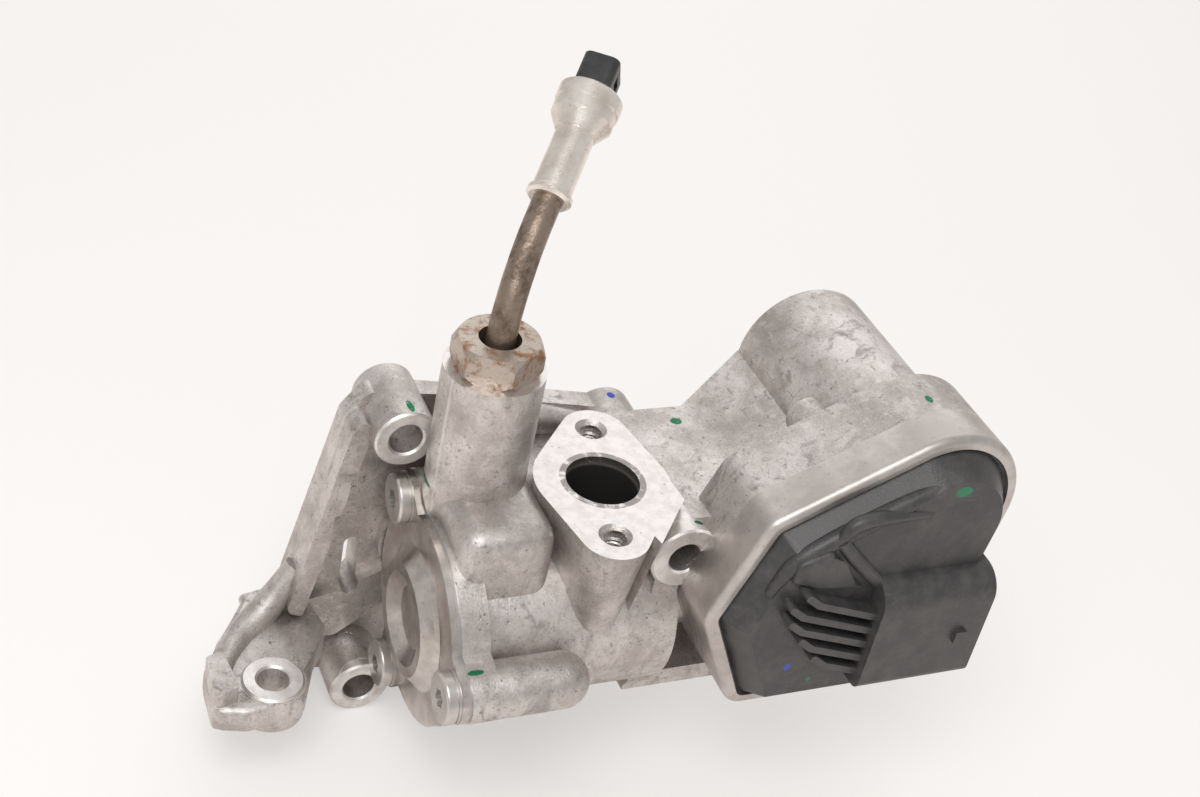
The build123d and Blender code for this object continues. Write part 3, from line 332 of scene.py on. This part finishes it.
def casting():
    finish = Finish("die_cast_aluminium")
    clouds = finish.noise(0.024, detail=6, rough=0.6)
    smears = finish.noise(0.010, detail=6, rough=0.72, stretch=(1.0, 1.0, 0.35), distortion=1.4)
    blotch = finish.noise(0.0042, detail=5, rough=0.66)
    speckle = finish.noise(0.00065, detail=4, rough=0.78)
    flecks = finish.noise(0.0019, detail=4, rough=0.8, stretch=(1.0, 0.55, 1.0), distortion=0.5)
    pits = finish.spots(0.0021).ramp(0.22, 0.08) * finish.noise(0.006).ramp(0.52, 0.62)
    stain = smears.ramp(0.50, 0.66) * clouds.ramp(0.40, 0.58)
    milled = milled_faces(finish)
    smoke = in_port(finish, SMOKE_R, SMOKE_DEPTH) * blotch.ramp(0.36, 0.52)
    soot = in_port(finish, PORT_BORE_R, SOOT_DEPTH)
    raw = finish.layered(finish.blend(clouds.ramp(0.36, 0.62), SKIN_DULL, SKIN_PLAIN),
                         (blotch.ramp(0.50, 0.66) * 0.38, SKIN_PALE),
                         (blotch.ramp(0.46, 0.34) * 0.24, SKIN_DARK),
                         (stain * 0.6, SMEAR),
                         (flecks.ramp(0.58, 0.66) * 0.55, FLECK),
                         (speckle.ramp(0.54, 0.68) * 0.45, SPECK_DARK),
                         (speckle.ramp(0.44, 0.32) * 0.35, SPECK_PALE))
    bright = finish.layered(finish.blend(blotch.ramp(0.40, 0.62), CUT_BRIGHT, CUT_GREY),
                            (speckle.ramp(0.62, 0.70) * 0.6, CUT_SPECK))
    color = finish.layered(finish.blend(milled, raw, bright), (pits * 0.5, PIT))
    color = marked(finish, color, HOUSING_MARKS, speckle.ramp(0.30, 0.42))
    color = finish.layered(color, (smoke * 0.7, SMOKE), (soot, SOOT))
    rough = 0.41 - clouds * 0.10 + stain * 0.20 + speckle * 0.10 - milled * 0.12 + soot * 0.4
    height = speckle * 0.42 + flecks * 0.35 + blotch * 0.45 - pits * 0.8 + clouds * 0.5
    relief = height * (1.0 - milled * 0.93) * (1.0 - soot)
    metal = CAST_METAL - soot * CAST_METAL
    return finish.done(color, rough, metal, finish.bump(relief, CAST_RELIEF))


cast_skin = casting()
wear("main_housing", cast_skin)

# %% [markdown]
# ## Pressed and turned steel
# The crimp ring, the round cover and the motor can are pressed from sheet, and the stem, the seat
# and the shafts are turned. All of them are smoother than the casting, so one recipe serves: slow
# clouds for handling marks, and fine lines drawn out along one way for what the tool left.

# %% Steel finishes
DUST = (0.20, 0.18, 0.17, 1)
STEEL_METAL = 0.95
TOOL_RELIEF = 0.05 * MM


def steel(name, light, dark, rough):
    finish = Finish(name)
    clouds = finish.noise(0.014, detail=6, rough=0.62)
    lines = finish.noise(0.0011, detail=4, rough=0.7, stretch=(0.14, 1.0, 1.0))
    specks = finish.noise(0.0016, detail=3, rough=0.7)
    color = finish.layered(finish.blend(clouds.ramp(0.35, 0.65), dark, light),
                           (lines.ramp(0.58, 0.74) * 0.4, dark),
                           (specks.ramp(0.60, 0.72) * 0.35, DUST))
    polish = rough + clouds * 0.10 + lines * 0.08
    return finish.done(color, polish, STEEL_METAL, finish.bump(lines + clouds * 2.0, TOOL_RELIEF))


STEELS = (
    ("satin_ring", (0.66, 0.62, 0.59, 1), (0.50, 0.465, 0.44, 1), 0.36, "crimp_ring"),
    ("drawn_cover", (0.68, 0.64, 0.61, 1), (0.42, 0.38, 0.35, 1), 0.16, "cover_plate"),
    ("plain_sheet", (0.55, 0.54, 0.53, 1), (0.40, 0.39, 0.38, 1), 0.32,
     "cover_gasket motor_can motor_end_cap spring_retainer"),
    ("zinc_screw", (0.74, 0.71, 0.685, 1), (0.56, 0.535, 0.51, 1), 0.27,
     "cover_screws motor_screws"),
    ("sensor_sheet", (0.97, 0.92, 0.865, 1), (0.70, 0.63, 0.56, 1), 0.19,
     "sensor_crimp_sleeve sensor_head"),
    ("turned_steel", (0.62, 0.62, 0.62, 1), (0.48, 0.48, 0.48, 1), 0.24,
     "valve_seat valve_disc valve_stem stem_fork roller_pin cam_roller cam_disc output_shaft"
     " intermediate_axle motor_shaft sensor_ferrule"),
    ("spring_wire", (0.40, 0.40, 0.41, 1), (0.26, 0.26, 0.27, 1), 0.30, "return_spring"),
    ("sintered_bronze", (0.50, 0.34, 0.16, 1), (0.36, 0.24, 0.12, 1), 0.40,
     "output_bushes stem_bush motor_pinion"),
    ("tinned_contact", (0.75, 0.73, 0.66, 1), (0.62, 0.60, 0.54, 1), 0.22,
     "connector_pins sensor_pins"),
)                                    # finish, light and dark colour, roughness and nodes
for name, light, dark, rough, nodes in STEELS:
    wear(nodes, steel(name, light, dark, rough))

# %% [markdown]
# ## Hot steel
# The gland nut and the tube of the sensor get hot. The nut keeps its pressed colour in places and
# rusts in others, and the tube is smoked brown all over. Both are the clean colour and the stained
# one, mixed by clouds; the two levels say how much of the piece is stained.

# %% Stained steel finish
SCALE = (0.13, 0.095, 0.07, 1)
SCALE_METAL = 0.88
SCALE_RELIEF = 0.08 * MM


def stained_steel(name, clean, stained, low, high):
    finish = Finish(name)
    clouds = finish.noise(0.006, detail=6, rough=0.7)
    grain = finish.noise(0.0009, detail=3, rough=0.65)
    stain = clouds.ramp(low, high)
    color = finish.layered(finish.blend(stain, clean, stained),
                           (grain.ramp(0.55, 0.72) * 0.45, SCALE))
    rough = 0.28 + stain * 0.26 + grain * 0.12
    return finish.done(color, rough, SCALE_METAL, finish.bump(grain + stain, SCALE_RELIEF))


HOT_STEELS = (
    ("rusted_gland", (0.50, 0.435, 0.38, 1), (0.36, 0.19, 0.095, 1), 0.47, 0.63, "gland_nut"),
    ("smoked_tube", (0.33, 0.26, 0.21, 1), (0.15, 0.11, 0.085, 1), 0.42, 0.68,
     "sensor_tube sensor_probe"),
)                                    # finish, clean and stained colour, levels and nodes
for name, clean, stained, low, high, nodes in HOT_STEELS:
    wear(nodes, stained_steel(name, clean, stained, low, high))

# %% [markdown]
# ## Moulded plastic, rubber and lacquer
# The gearbox cover is glass-filled nylon: black, but hazy, because the fibres lie at the surface
# and dust clings to them. Scuffs are noise stretched along one way and cut off high, so that only a
# few show. The gears, the seals and the board use the same recipe with other colours.

# %% Moulded finishes
COVER_MARKS = (
    ((84.7, -45.0, 21.6), 1.0, (3.0, 2, 1.9), GREEN),
    ((54.4, -45.0, -43.3), 1.0, (1.0, 2, 0.8), GREEN),
    ((45.8, -45.0, -36.9), 1.0, (1.2, 2, 1.5), BLUE),
)                                    # place, size, stretch and ink, in mm
MOULD_RELIEF = 0.12 * MM


def moulded(name, shade, dusty, rough, marks):
    finish = Finish(name)
    clouds = finish.noise(0.007, detail=7, rough=0.72)
    grain = finish.noise(0.0006, detail=2, rough=0.6)
    scuffs = finish.noise(0.0022, detail=5, rough=0.7, stretch=(0.2, 1.0, 1.0), distortion=0.8)
    dust = clouds.ramp(0.34, 0.78) * (0.45 + grain * 0.7)
    color = finish.layered(shade, (dust * 0.75, dusty), (scuffs.ramp(0.62, 0.74) * 0.5, dusty))
    color = marked(finish, color, marks, grain.ramp(0.25, 0.40))
    polish = rough + dust * 0.20 + grain * 0.08
    return finish.done(color, polish, 0.0, finish.bump(grain * 0.6 + clouds, MOULD_RELIEF))


PLASTICS = (
    ("glass_filled_black", (0.044, 0.043, 0.044, 1), (0.125, 0.118, 0.114, 1), 0.29,
     "gearbox_cover", COVER_MARKS),
    ("plug_black", (0.020, 0.020, 0.021, 1), (0.06, 0.06, 0.06, 1), 0.34, "sensor_plug", ()),
    ("gear_plastic", (0.62, 0.60, 0.52, 1), (0.45, 0.43, 0.36, 1), 0.45,
     "output_gear intermediate_gear", ()),
    ("board_lacquer", (0.02, 0.12, 0.06, 1), (0.05, 0.2, 0.1, 1), 0.30,
     "position_sensor_board", ()),
    ("seal_rubber", (0.015, 0.015, 0.016, 1), (0.05, 0.05, 0.05, 1), 0.60,
     "gearbox_seal stem_seal", ()),
    ("magnet", (0.03, 0.03, 0.035, 1), (0.08, 0.08, 0.08, 1), 0.35, "position_magnet", ()),
)                                    # finish, plain and dusty colour, roughness, nodes and marks
for name, shade, dusty, rough, nodes, marks in PLASTICS:
    wear(nodes, moulded(name, shade, dusty, rough, marks))

# %% [markdown]
# ## Blocks, bars and bores
# Metal and plastic that flow into a mould need round corners. Two shapes give nearly all of them:
# an outline pulled up and bevelled all round, and a round bar along a smooth curve. A bevel needs
# few points and keeps its radius, where a subdivided box would sag at the corners. A piece that
# lies over a bore of the casting would close it, so cutters drill the bore through that piece too.

# %% A piece with its skin
SHARP_EDGE = math.radians(35)


def own(piece, material):
    """Gives a finished piece its skin and ties it to the casting."""
    piece.data.materials.clear()
    piece.data.materials.append(material)
    piece.data.polygons.foreach_set("use_smooth", [True] * len(piece.data.polygons))
    piece.data.set_sharp_from_angle(angle=SHARP_EDGE)
    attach(piece, "housing")
    print(piece.name, len(piece.data.polygons), "faces")


def linked(name, data):
    """An object that shows this data in the scene."""
    thing = bpy.data.objects.new(name, data)
    bpy.context.scene.collection.objects.link(thing)
    return thing


def solid_from(name, build):
    """A piece from a bmesh, with its normals turned outward."""
    bmesh.ops.recalc_face_normals(build, faces=build.faces)
    mesh = bpy.data.meshes.new(name)
    build.to_mesh(mesh)
    build.free()
    return linked(name, mesh)


# %% A rounded block
EDGE_STEPS = 6


def rounded_prism(name, outline, bottom, top, radius):
    """An outline in the XY plane, pulled up and bevelled all round; in millimetres."""
    build = bmesh.new()
    rings = [[build.verts.new((x * MM, y * MM, z * MM)) for x, y in outline] for z in (bottom, top)]
    for ring in rings:
        build.faces.new(ring)
    for spot in range(len(outline)):
        before = spot - 1
        build.faces.new((rings[0][before], rings[0][spot], rings[1][spot], rings[1][before]))
    bmesh.ops.bevel(build, geom=build.edges[:], offset=radius * MM, segments=EDGE_STEPS,
                    profile=0.5, affect="EDGES", clamp_overlap=True)
    return solid_from(name, build)


# %% A bar along a curve
BAR_ROUNDNESS = 5           # resolution of the bar's round
BAR_STEPS = 10              # resolution of the curve between two of its points
WELD = 0.01 * MM


def bar_along(name, points, radii):
    """A round bar along a smooth curve, closed at both ends; in millimetres."""
    curve = bpy.data.curves.new(name, "CURVE")
    curve.dimensions = "3D"
    curve.bevel_depth = MM
    curve.bevel_resolution = BAR_ROUNDNESS
    curve.use_fill_caps = True
    spline = curve.splines.new("NURBS")
    spline.points.add(len(points) - 1)
    for point, place, radius in zip(spline.points, points, radii):
        point.co = (*(Vector(place) * MM), 1.0)
        point.radius = radius
    spline.order_u = 4
    spline.use_endpoint_u = True
    spline.resolution_u = BAR_STEPS
    drawn = bpy.data.objects.new(name, curve)
    build = bmesh.new()
    build.from_mesh(drawn.to_mesh())
    bmesh.ops.remove_doubles(build, verts=build.verts, dist=WELD)
    drawn.to_mesh_clear()
    bpy.data.objects.remove(drawn)
    return solid_from(name, build)


# %% Bores kept open
BORE_SIDES = 64


def baked(piece):
    """Turns the result of a piece's modifiers into its plain mesh."""
    bpy.context.view_layer.update()
    ready = piece.evaluated_get(bpy.context.evaluated_depsgraph_get())
    plain = bpy.data.meshes.new_from_object(ready)
    piece.modifiers.clear()
    piece.data = plain


def drilled(piece, bores):
    """Keeps bores open through a piece that lies over them; a bore is start, end and radius."""
    cutters = []
    for start, end, radius in bores:
        start, end = Vector(start) * MM, Vector(end) * MM
        turn = (end - start).to_track_quat("Z", "Y").to_matrix().to_4x4()
        build = bmesh.new()
        bmesh.ops.create_cone(build, cap_ends=True, segments=BORE_SIDES, radius1=radius * MM,
                              radius2=radius * MM, depth=(end - start).length,
                              matrix=Matrix.Translation((start + end) / 2) @ turn)
        cut = piece.modifiers.new("bore", "BOOLEAN")
        cut.operation = "DIFFERENCE"
        cut.solver = "EXACT"
        cut.object = solid_from("bore", build)
        cutters.append(cut.object)
    baked(piece)
    for cutter in cutters:
        bpy.data.objects.remove(cutter)
    return piece


# %% [markdown]
# ## Softer forms of the casting
# A cast arm never starts abruptly: it grows out of the body through thick, round shoulders. The
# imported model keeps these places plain, so closed pieces of the same skin lie over them: the
# shoulder under the sensor boss, the web behind the gas port, the pad of the foot, the crest that
# runs from it up to the bracket, and the rail behind the flange. They could be remeshed into one
# skin with the casting, but then the casting would no longer be the model's own.

# %% Cast forms
CHAMBER = ((-70, 0, -43), (50, 0, -43), 23.2)
PROBE = ((-32.8, 12.3, -60), (-32.8, 12.3, 40), 5.0)
REAR_PORT = ((-34, -1, -43), (-34, 60, -43), 11.0)
TOP_PORT = ((0, 0, -60), (0, 0, 5), 10.8)
TAPPED_HOLE = ((5.4, 22.5, -25), (5.4, 22.5, 5), 4.0)
FOOT_HOLE = ((-86.0, 4.5, -90), (-86.0, 4.5, -50), 4.6)
CAST_BLOCKS = {   # outline, bottom, top, edge radius and the bores through it, in mm
    "sensor_shoulder": (((-44.5, -17), (-17.8, -17), (-17.8, 20), (-44.5, 20)), -43, -2.2, 5.5,
                        (CHAMBER, PROBE, REAR_PORT)),
    "port_web": (((-21, 12), (11, 12), (11, 43.5), (-21, 43.5)), -42, -9, 5.5,
                 (CHAMBER, PROBE, REAR_PORT, TOP_PORT, TAPPED_HOLE)),
    "foot_pad": (((-67, 24), (-71, 42.5), (-85, 42.5), (-98, 22), (-103.9, 13), (-103.9, -3.5),
                  (-95, -6), (-79, -4)), -74.2, -65.4, 2.6, (FOOT_HOLE,)),
}
CAST_BARS = {     # points and the radius at each, in mm
    "bracket_crest": (((-100.6, 1, -68), (-100, 10, -67.5), (-94, 21, -67), (-86, 29.5, -66),
                       (-78, 33, -60), (-73, 34, -50)), (3.2, 3.6, 4.2, 4.8, 4.6, 3.6)),
    "rear_rail": (((-38, 36.5, 0.5), (-25, 36.5, -1.5), (-8, 37, -5), (8, 37.5, -9.5)),
                  (5.0, 5.4, 5.2, 4.6)),
}
for name, (outline, bottom, top, radius, bores) in CAST_BLOCKS.items():
    own(drilled(rounded_prism(name, outline, bottom, top, radius), bores), cast_skin)
for name, (points, radii) in CAST_BARS.items():
    own(bar_along(name, points, radii), cast_skin)

# %% [markdown]
# ## Faced bosses
# Screw heads need a flat seat, so a cutter faces each boss and leaves a bright ring with fine
# turned lines and a small chamfer. A bevelled tube could serve, but its inner and outer edges would
# have to be picked out first. Here a short outline that holds both chamfers is revolved instead.
# The rings stand a little proud of the raw casting.

# %% Machined finish
FACED_GREY = (0.66, 0.63, 0.61, 1)
FACED_BRIGHT = (0.86, 0.835, 0.815, 1)
FACED_SPECK = (0.30, 0.28, 0.265, 1)
FACED_METAL = 0.9


def milled_aluminium():
    finish = Finish("milled_aluminium")
    lines = finish.noise(0.0012, detail=5, rough=0.7, distortion=0.6)
    speckle = finish.noise(0.0007, detail=3, rough=0.7)
    clouds = finish.noise(0.006, detail=4)
    color = finish.layered(finish.blend(clouds.ramp(0.35, 0.65), FACED_GREY, FACED_BRIGHT),
                           (speckle.ramp(0.56, 0.70) * 0.4, FACED_SPECK))
    color = marked(finish, color, HOUSING_MARKS, speckle.ramp(0.30, 0.42))
    return finish.done(color, 0.30 + lines * 0.14, FACED_METAL, finish.bump(lines, TOOL_RELIEF))


milled_skin = milled_aluminium()
print(milled_skin.name, "is ready for the rings")

# %% Machined rings
BOSS_RINGS = {   # centre of the face, way it looks, inner and outer radius, thickness, in mm
    "right_boss_face": ((19.0, -21.6, -13.0), (0, -1, 0), (4.8, 10.2), 14.0),
    "upper_boss_face": ((-50.5, 21.4, 3.0), (0, -1, 0), (4.8, 8.9), 3.0),
    "lower_boss_face": ((-55.0, 17.4, -87.0), (0, -1, 0), (4.8, 8.9), 3.0),
    "foot_boss_face": ((-86.0, 4.5, -64.2), (0, 0, 1), (4.5, 8.9), 3.0),
}
RING_STEPS = 72
RING_CHAMFER = 0.6


def faced_ring(name, centre, way, radii, thickness):
    """A ring with chamfered front edges, revolved about the way it looks; in millimetres."""
    inner, outer = radii
    edge = RING_CHAMFER
    outline = ((inner, -thickness), (outer, -thickness), (outer, -edge), (outer - edge, 0),
               (inner + edge, 0), (inner, -edge))
    along = Vector(way)
    across = along.orthogonal().normalized()
    upright = along.cross(across)
    build = bmesh.new()
    loops = []
    for step in range(RING_STEPS):
        angle = 2 * math.pi * step / RING_STEPS
        outward = across * math.cos(angle) + upright * math.sin(angle)
        places = [(Vector(centre) + outward * r + along * a) * MM for r, a in outline]
        loops.append([build.verts.new(place) for place in places])
    for step, loop in enumerate(loops):
        before = loops[step - 1]
        for spot in range(len(outline)):
            build.faces.new((before[spot - 1], before[spot], loop[spot], loop[spot - 1]))
    return solid_from(name, build)


for name, (centre, way, radii, thickness) in BOSS_RINGS.items():
    own(faced_ring(name, centre, way, radii, thickness), milled_skin)

# %% [markdown]
# ## Ribs of the black cover
# A flat moulded wall would hum, so the maker lays ribs on it: one bends over the cooling fins, one
# runs down to the connector, and the upper shoulder is rounded where it takes the crimped ring.
# They are bars along curves that sink into the wall, and the raised field left of the fins is a
# bevelled outline. The field is drawn flat and then turned upright, to face the viewer.

# %% Cover ribs
COVER_BARS = {   # points and the radius at each, in mm
    "cover_ridge": (((49.5, -44.6, 7), (50.5, -45, 13.5), (55, -45, 16.2), (66, -45, 16),
                     (77, -44.6, 14.5)), (1.2, 2.1, 2.3, 1.9, 1.0)),
    "cover_channel": (((50, -44.8, 9), (56, -45.2, 2), (63, -45.2, -5), (70, -45, -11)),
                      (2.0, 2.4, 2.3, 1.6)),
    "cover_shoulder": (((33.5, -43.0, -9), (37, -43.2, 0.5), (42, -43.2, 4.6), (58, -43.0, 12.8),
                        (77, -42.8, 22.0), (84, -42.6, 23.5)), (1.4, 2.5, 2.8, 2.9, 2.8, 1.4)),
}
FIELD_OUTLINE = ((38, 3.5), (47.5, 7.0), (51, 2), (62, -9), (46, -5.4), (37.5, -3.5))
FIELD_BACK, FIELD_FRONT, FIELD_EDGE = 43.5, 47.0, 1.4
UPRIGHT = Matrix(((1, 0, 0, 0), (0, 0, -1, 0), (0, 1, 0, 0), (0, 0, 0, 1)))
cover_skin = NODES["gearbox_cover"].material_slots[0].material
for name, (points, radii) in COVER_BARS.items():
    own(bar_along(name, points, radii), cover_skin)
field = rounded_prism("cover_field", FIELD_OUTLINE, FIELD_BACK, FIELD_FRONT, FIELD_EDGE)
field.data.transform(UPRIGHT)
own(field, cover_skin)

# %% [markdown]
# ## A stand-in for the return spring
# The spring stands between the bottom of its guide and the cup on the stem. When the motor opens
# the valve, the cup comes 8 mm closer and the coils close up. The model keeps the spring rigid. A
# copy of it stands in here as it is, and the rigid one is hidden.

# %% Return spring
rigid = NODES["return_spring"]
coil_mesh = rigid.data.copy()
coil_mesh.transform(rigid.matrix_world)
coil = linked("closing_spring", coil_mesh)
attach(coil, "housing")
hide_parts("return_spring")
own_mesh(coil)

# %% [markdown]
# ## A recipe of Geometry Nodes
# Geometry Nodes suit what follows a rule, because its sizes stay open as named inputs. This class
# builds such a tree, runs it on a few points and keeps the result as plain mesh. A modifier knows
# an input by its identifier and not by its name, so the class remembers which belongs to which.

# %% A recipe
class Recipe:
    """A Geometry Nodes tree under construction."""

    def __init__(self, name, inputs):
        self.tree = bpy.data.node_groups.new(name, "GeometryNodeTree")
        self.keys = {}
        add = self.tree.interface.new_socket
        add(name="Geometry", in_out="INPUT", socket_type="NodeSocketGeometry")
        for label, kind in inputs.items():
            self.keys[label] = add(name=label, in_out="INPUT", socket_type=kind).identifier
        add(name="Geometry", in_out="OUTPUT", socket_type="NodeSocketGeometry")
        self.start = add_node(self.tree, "NodeGroupInput")

    def given(self, label):
        return self.start.outputs[label]

    def node(self, kind, settings, inputs):
        return add_node(self.tree, kind, settings, inputs).outputs[0]

    def made(self, name, points, values, body):
        """Runs the recipe on a few points and returns a plain mesh object that rides a body."""
        mesh = bpy.data.meshes.new(name)
        mesh.from_pydata(points, [], [])
        piece = linked(name, mesh)
        modifier = piece.modifiers.new(name, "NODES")
        modifier.node_group = self.tree
        for label, value in values.items():
            modifier[self.keys[label]] = value
        baked(piece)
        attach(piece, body)
        print(name, len(piece.data.polygons), "faces")
        return piece


# %% [markdown]
# ## Threads of the two pipe screws
# Two M8 screws hold the pipe on the gas port. A tap cuts their threads, so each is one V-shaped rib
# that climbs by 1.25 mm a turn. The tree draws it: a spiral, swept with a three-sided outline, put
# on one point for each hole. Radius, pitch, turns and the size of the rib are named inputs, so
# another size of screw is a change of numbers. The result belongs to the casting.

# %% Threads
HOLES = ((5.4, 22.5), (-5.4, -22.5))
THREAD = {"Radius": 3.38 * MM, "Pitch": 1.25 * MM, "Turns": 9.0, "Rib": 0.52 * MM}
THREAD_START = 1.2 * MM              # how far the first turn lies below the face of the flange
STEPS_A_TURN = 36
RIB_SIDES = 3
CREST_BRIGHT = (0.72, 0.69, 0.67, 1)
ROOT_DARK = (0.34, 0.32, 0.30, 1)
THREAD_METAL = 0.92


def thread_recipe():
    kinds = {label: "NodeSocketFloat" for label in THREAD}
    recipe = Recipe("tapped_thread", {**kinds, "Material": "NodeSocketMaterial"})
    height = recipe.node("ShaderNodeMath", {"operation": "MULTIPLY"},
                         {0: recipe.given("Pitch"), 1: recipe.given("Turns")})
    spiral = recipe.node("GeometryNodeCurveSpiral", {}, {
        "Resolution": STEPS_A_TURN, "Rotations": recipe.given("Turns"),
        "Start Radius": recipe.given("Radius"), "End Radius": recipe.given("Radius"),
        "Height": height})
    outline = recipe.node("GeometryNodeCurvePrimitiveCircle", {},
                          {"Resolution": RIB_SIDES, "Radius": recipe.given("Rib")})
    rib = recipe.node("GeometryNodeCurveToMesh", {},
                      {"Curve": spiral, "Profile Curve": outline, "Fill Caps": True})
    sharp = recipe.node("GeometryNodeSetShadeSmooth", {}, {"Geometry": rib, "Shade Smooth": False})
    placed = recipe.node("GeometryNodeInstanceOnPoints", {},
                         {"Points": recipe.given("Geometry"), "Instance": sharp})
    real = recipe.node("GeometryNodeRealizeInstances", {}, {"Geometry": placed})
    dressed = recipe.node("GeometryNodeSetMaterial", {},
                          {"Geometry": real, "Material": recipe.given("Material")})
    add_node(recipe.tree, "NodeGroupOutput", {}, {0: dressed})
    return recipe


def turned_thread():
    finish = Finish("cut_thread")
    lines = finish.noise(0.0008, detail=4, rough=0.7)
    color = finish.blend(lines.ramp(0.4, 0.66), CREST_BRIGHT, ROOT_DARK)
    return finish.done(color, 0.26 + lines * 0.15, THREAD_METAL, finish.bump(lines, TOOL_RELIEF))


thread_depth = THREAD["Pitch"] * THREAD["Turns"]
thread_points = [(x * MM, y * MM, -thread_depth - THREAD_START) for x, y in HOLES]
thread_recipe().made("port_threads", thread_points,
                     {**THREAD, "Material": turned_thread()}, "housing")

# %% [markdown]
# ## Floor
# The part lies on a pale table, which has to look brighter than any part of it. More lamps would
# do that, but they would also wash out the metal and the shadow. So some plain white is mixed into
# the finish of the floor, for the camera only, and the rest of it still takes the shadow.

# %% Floor
FLOOR_GAP = 0.0002
FLOOR_HALF = 3.0
FLOOR_WHITE = 0.4                    # share of plain white that the camera sees
FLOOR_DULL = (0.94, 0.895, 0.87, 1)
FLOOR_PALE = (0.96, 0.92, 0.895, 1)


def whiten(tree, share):
    """Mixes plain white into a finish, for the camera only."""
    sheet = next(node for node in tree.nodes if node.type == "OUTPUT_MATERIAL")
    shader = sheet.inputs["Surface"].links[0].from_socket
    glow = add_node(tree, "ShaderNodeEmission")
    seen = add_node(tree, "ShaderNodeLightPath")
    part = add_node(tree, "ShaderNodeMath", {"operation": "MULTIPLY"},
                    {0: seen.outputs["Is Camera Ray"], 1: share})
    mix = add_node(tree, "ShaderNodeMixShader", {},
                   {"Fac": part.outputs[0], 1: shader, 2: glow.outputs[0]})
    tree.links.new(mix.outputs[0], sheet.inputs["Surface"])


def studio_floor(level):
    mesh = bpy.data.meshes.new("studio_floor")
    corners = ((-FLOOR_HALF, -FLOOR_HALF, level), (FLOOR_HALF, -FLOOR_HALF, level),
               (FLOOR_HALF, FLOOR_HALF, level), (-FLOOR_HALF, FLOOR_HALF, level))
    mesh.from_pydata(corners, [], [(0, 1, 2, 3)])
    floor = linked("studio_floor", mesh)
    finish = Finish("studio_floor")
    tone = finish.noise(0.8, detail=2).ramp(0.2, 0.8)
    mesh.materials.append(finish.done(finish.blend(tone, FLOOR_DULL, FLOOR_PALE), 0.9))
    whiten(finish.tree, FLOOR_WHITE)
    print("floor at", round(level, 4))


studio_floor(cad_box[0][2] - FLOOR_GAP)

# %% [markdown]
# ## Light and room
# One large soft lamp hangs above and in front, and a wide faint one behind, which the upper faces
# mirror. The rest comes from a dim white room. Together they light a white sheet to about 1, so
# colours come out as they are written. The room looks white only to the camera, so the background
# is clean and the metal isn't washed out.

# %% Lamps and room
LAMPS = {   # place, width and length in metres, power in watts
    "key": ((-0.30, -0.38, 0.72), (0.55, 0.55), 4.0),
    "back": ((0.36, 0.72, 0.60), (1.1, 0.9), 2.4),
}
LIT_POINT = Vector((0, 0, -0.03))
ROOM_LIGHT = 0.58
ROOM_WHITE = (1.0, 0.975, 0.955, 1)


def area_light(name, place, size, power):
    lamp = bpy.data.lights.new(name, "AREA")
    lamp.shape = "RECTANGLE"
    lamp.size, lamp.size_y = size
    lamp.energy = power
    holder = linked(name, lamp)
    holder.location = place
    holder.rotation_euler = (Vector(place) - LIT_POINT).to_track_quat("Z", "Y").to_euler()
    print(name, "lamp of", power, "W")


world = bpy.data.worlds.new("studio")
bpy.context.scene.world = world
world.use_nodes = True
sky = world.node_tree.nodes["Background"]
sky.inputs["Color"].default_value = ROOM_WHITE
seen = add_node(world.node_tree, "ShaderNodeLightPath")
strength = add_node(world.node_tree, "ShaderNodeMapRange", {},
                    {"Value": seen.outputs["Is Camera Ray"], "To Min": ROOM_LIGHT, "To Max": 1.0})
world.node_tree.links.new(strength.outputs[0], sky.inputs["Strength"])
for name, (place, size, power) in LAMPS.items():
    area_light(name, place, size, power)
bpy.context.scene.view_settings.view_transform = "Standard"

# %% [markdown]
# ## Camera
# The part is seen from the front left and well above, as one looks down on something on a bench.
# Three directions set the camera: what points right in the picture, what points down in it, and
# straight ahead, which is square to both. They are easier to check by hand than three angles.

# %% Camera
FOCAL_LENGTH = 54.38
FILM_WIDTH = 36.0
NEAREST = 0.01
STAND = Vector((-0.2010, -0.3436, 0.3034))
RIGHT = Vector((0.911, -0.368, 0.184))
DOWN = Vector((-0.079, -0.594, -0.799))
AHEAD = RIGHT.cross(DOWN)
lens = bpy.data.cameras.new("camera")
lens.lens = FOCAL_LENGTH
lens.sensor_width = FILM_WIDTH
lens.clip_start = NEAREST
camera = linked("camera", lens)
turn = Matrix((RIGHT, -DOWN, -AHEAD)).transposed()
camera.matrix_world = Matrix.Translation(STAND) @ turn.to_4x4()
bpy.context.scene.camera = camera
print("camera looks along", [round(v, 3) for v in AHEAD])

# %% [markdown]
# ## Size of the part
# Dressing must not make the part bigger than its model. Only the box of the model is measured, when
# it is loaded, and the floor is laid just under it.
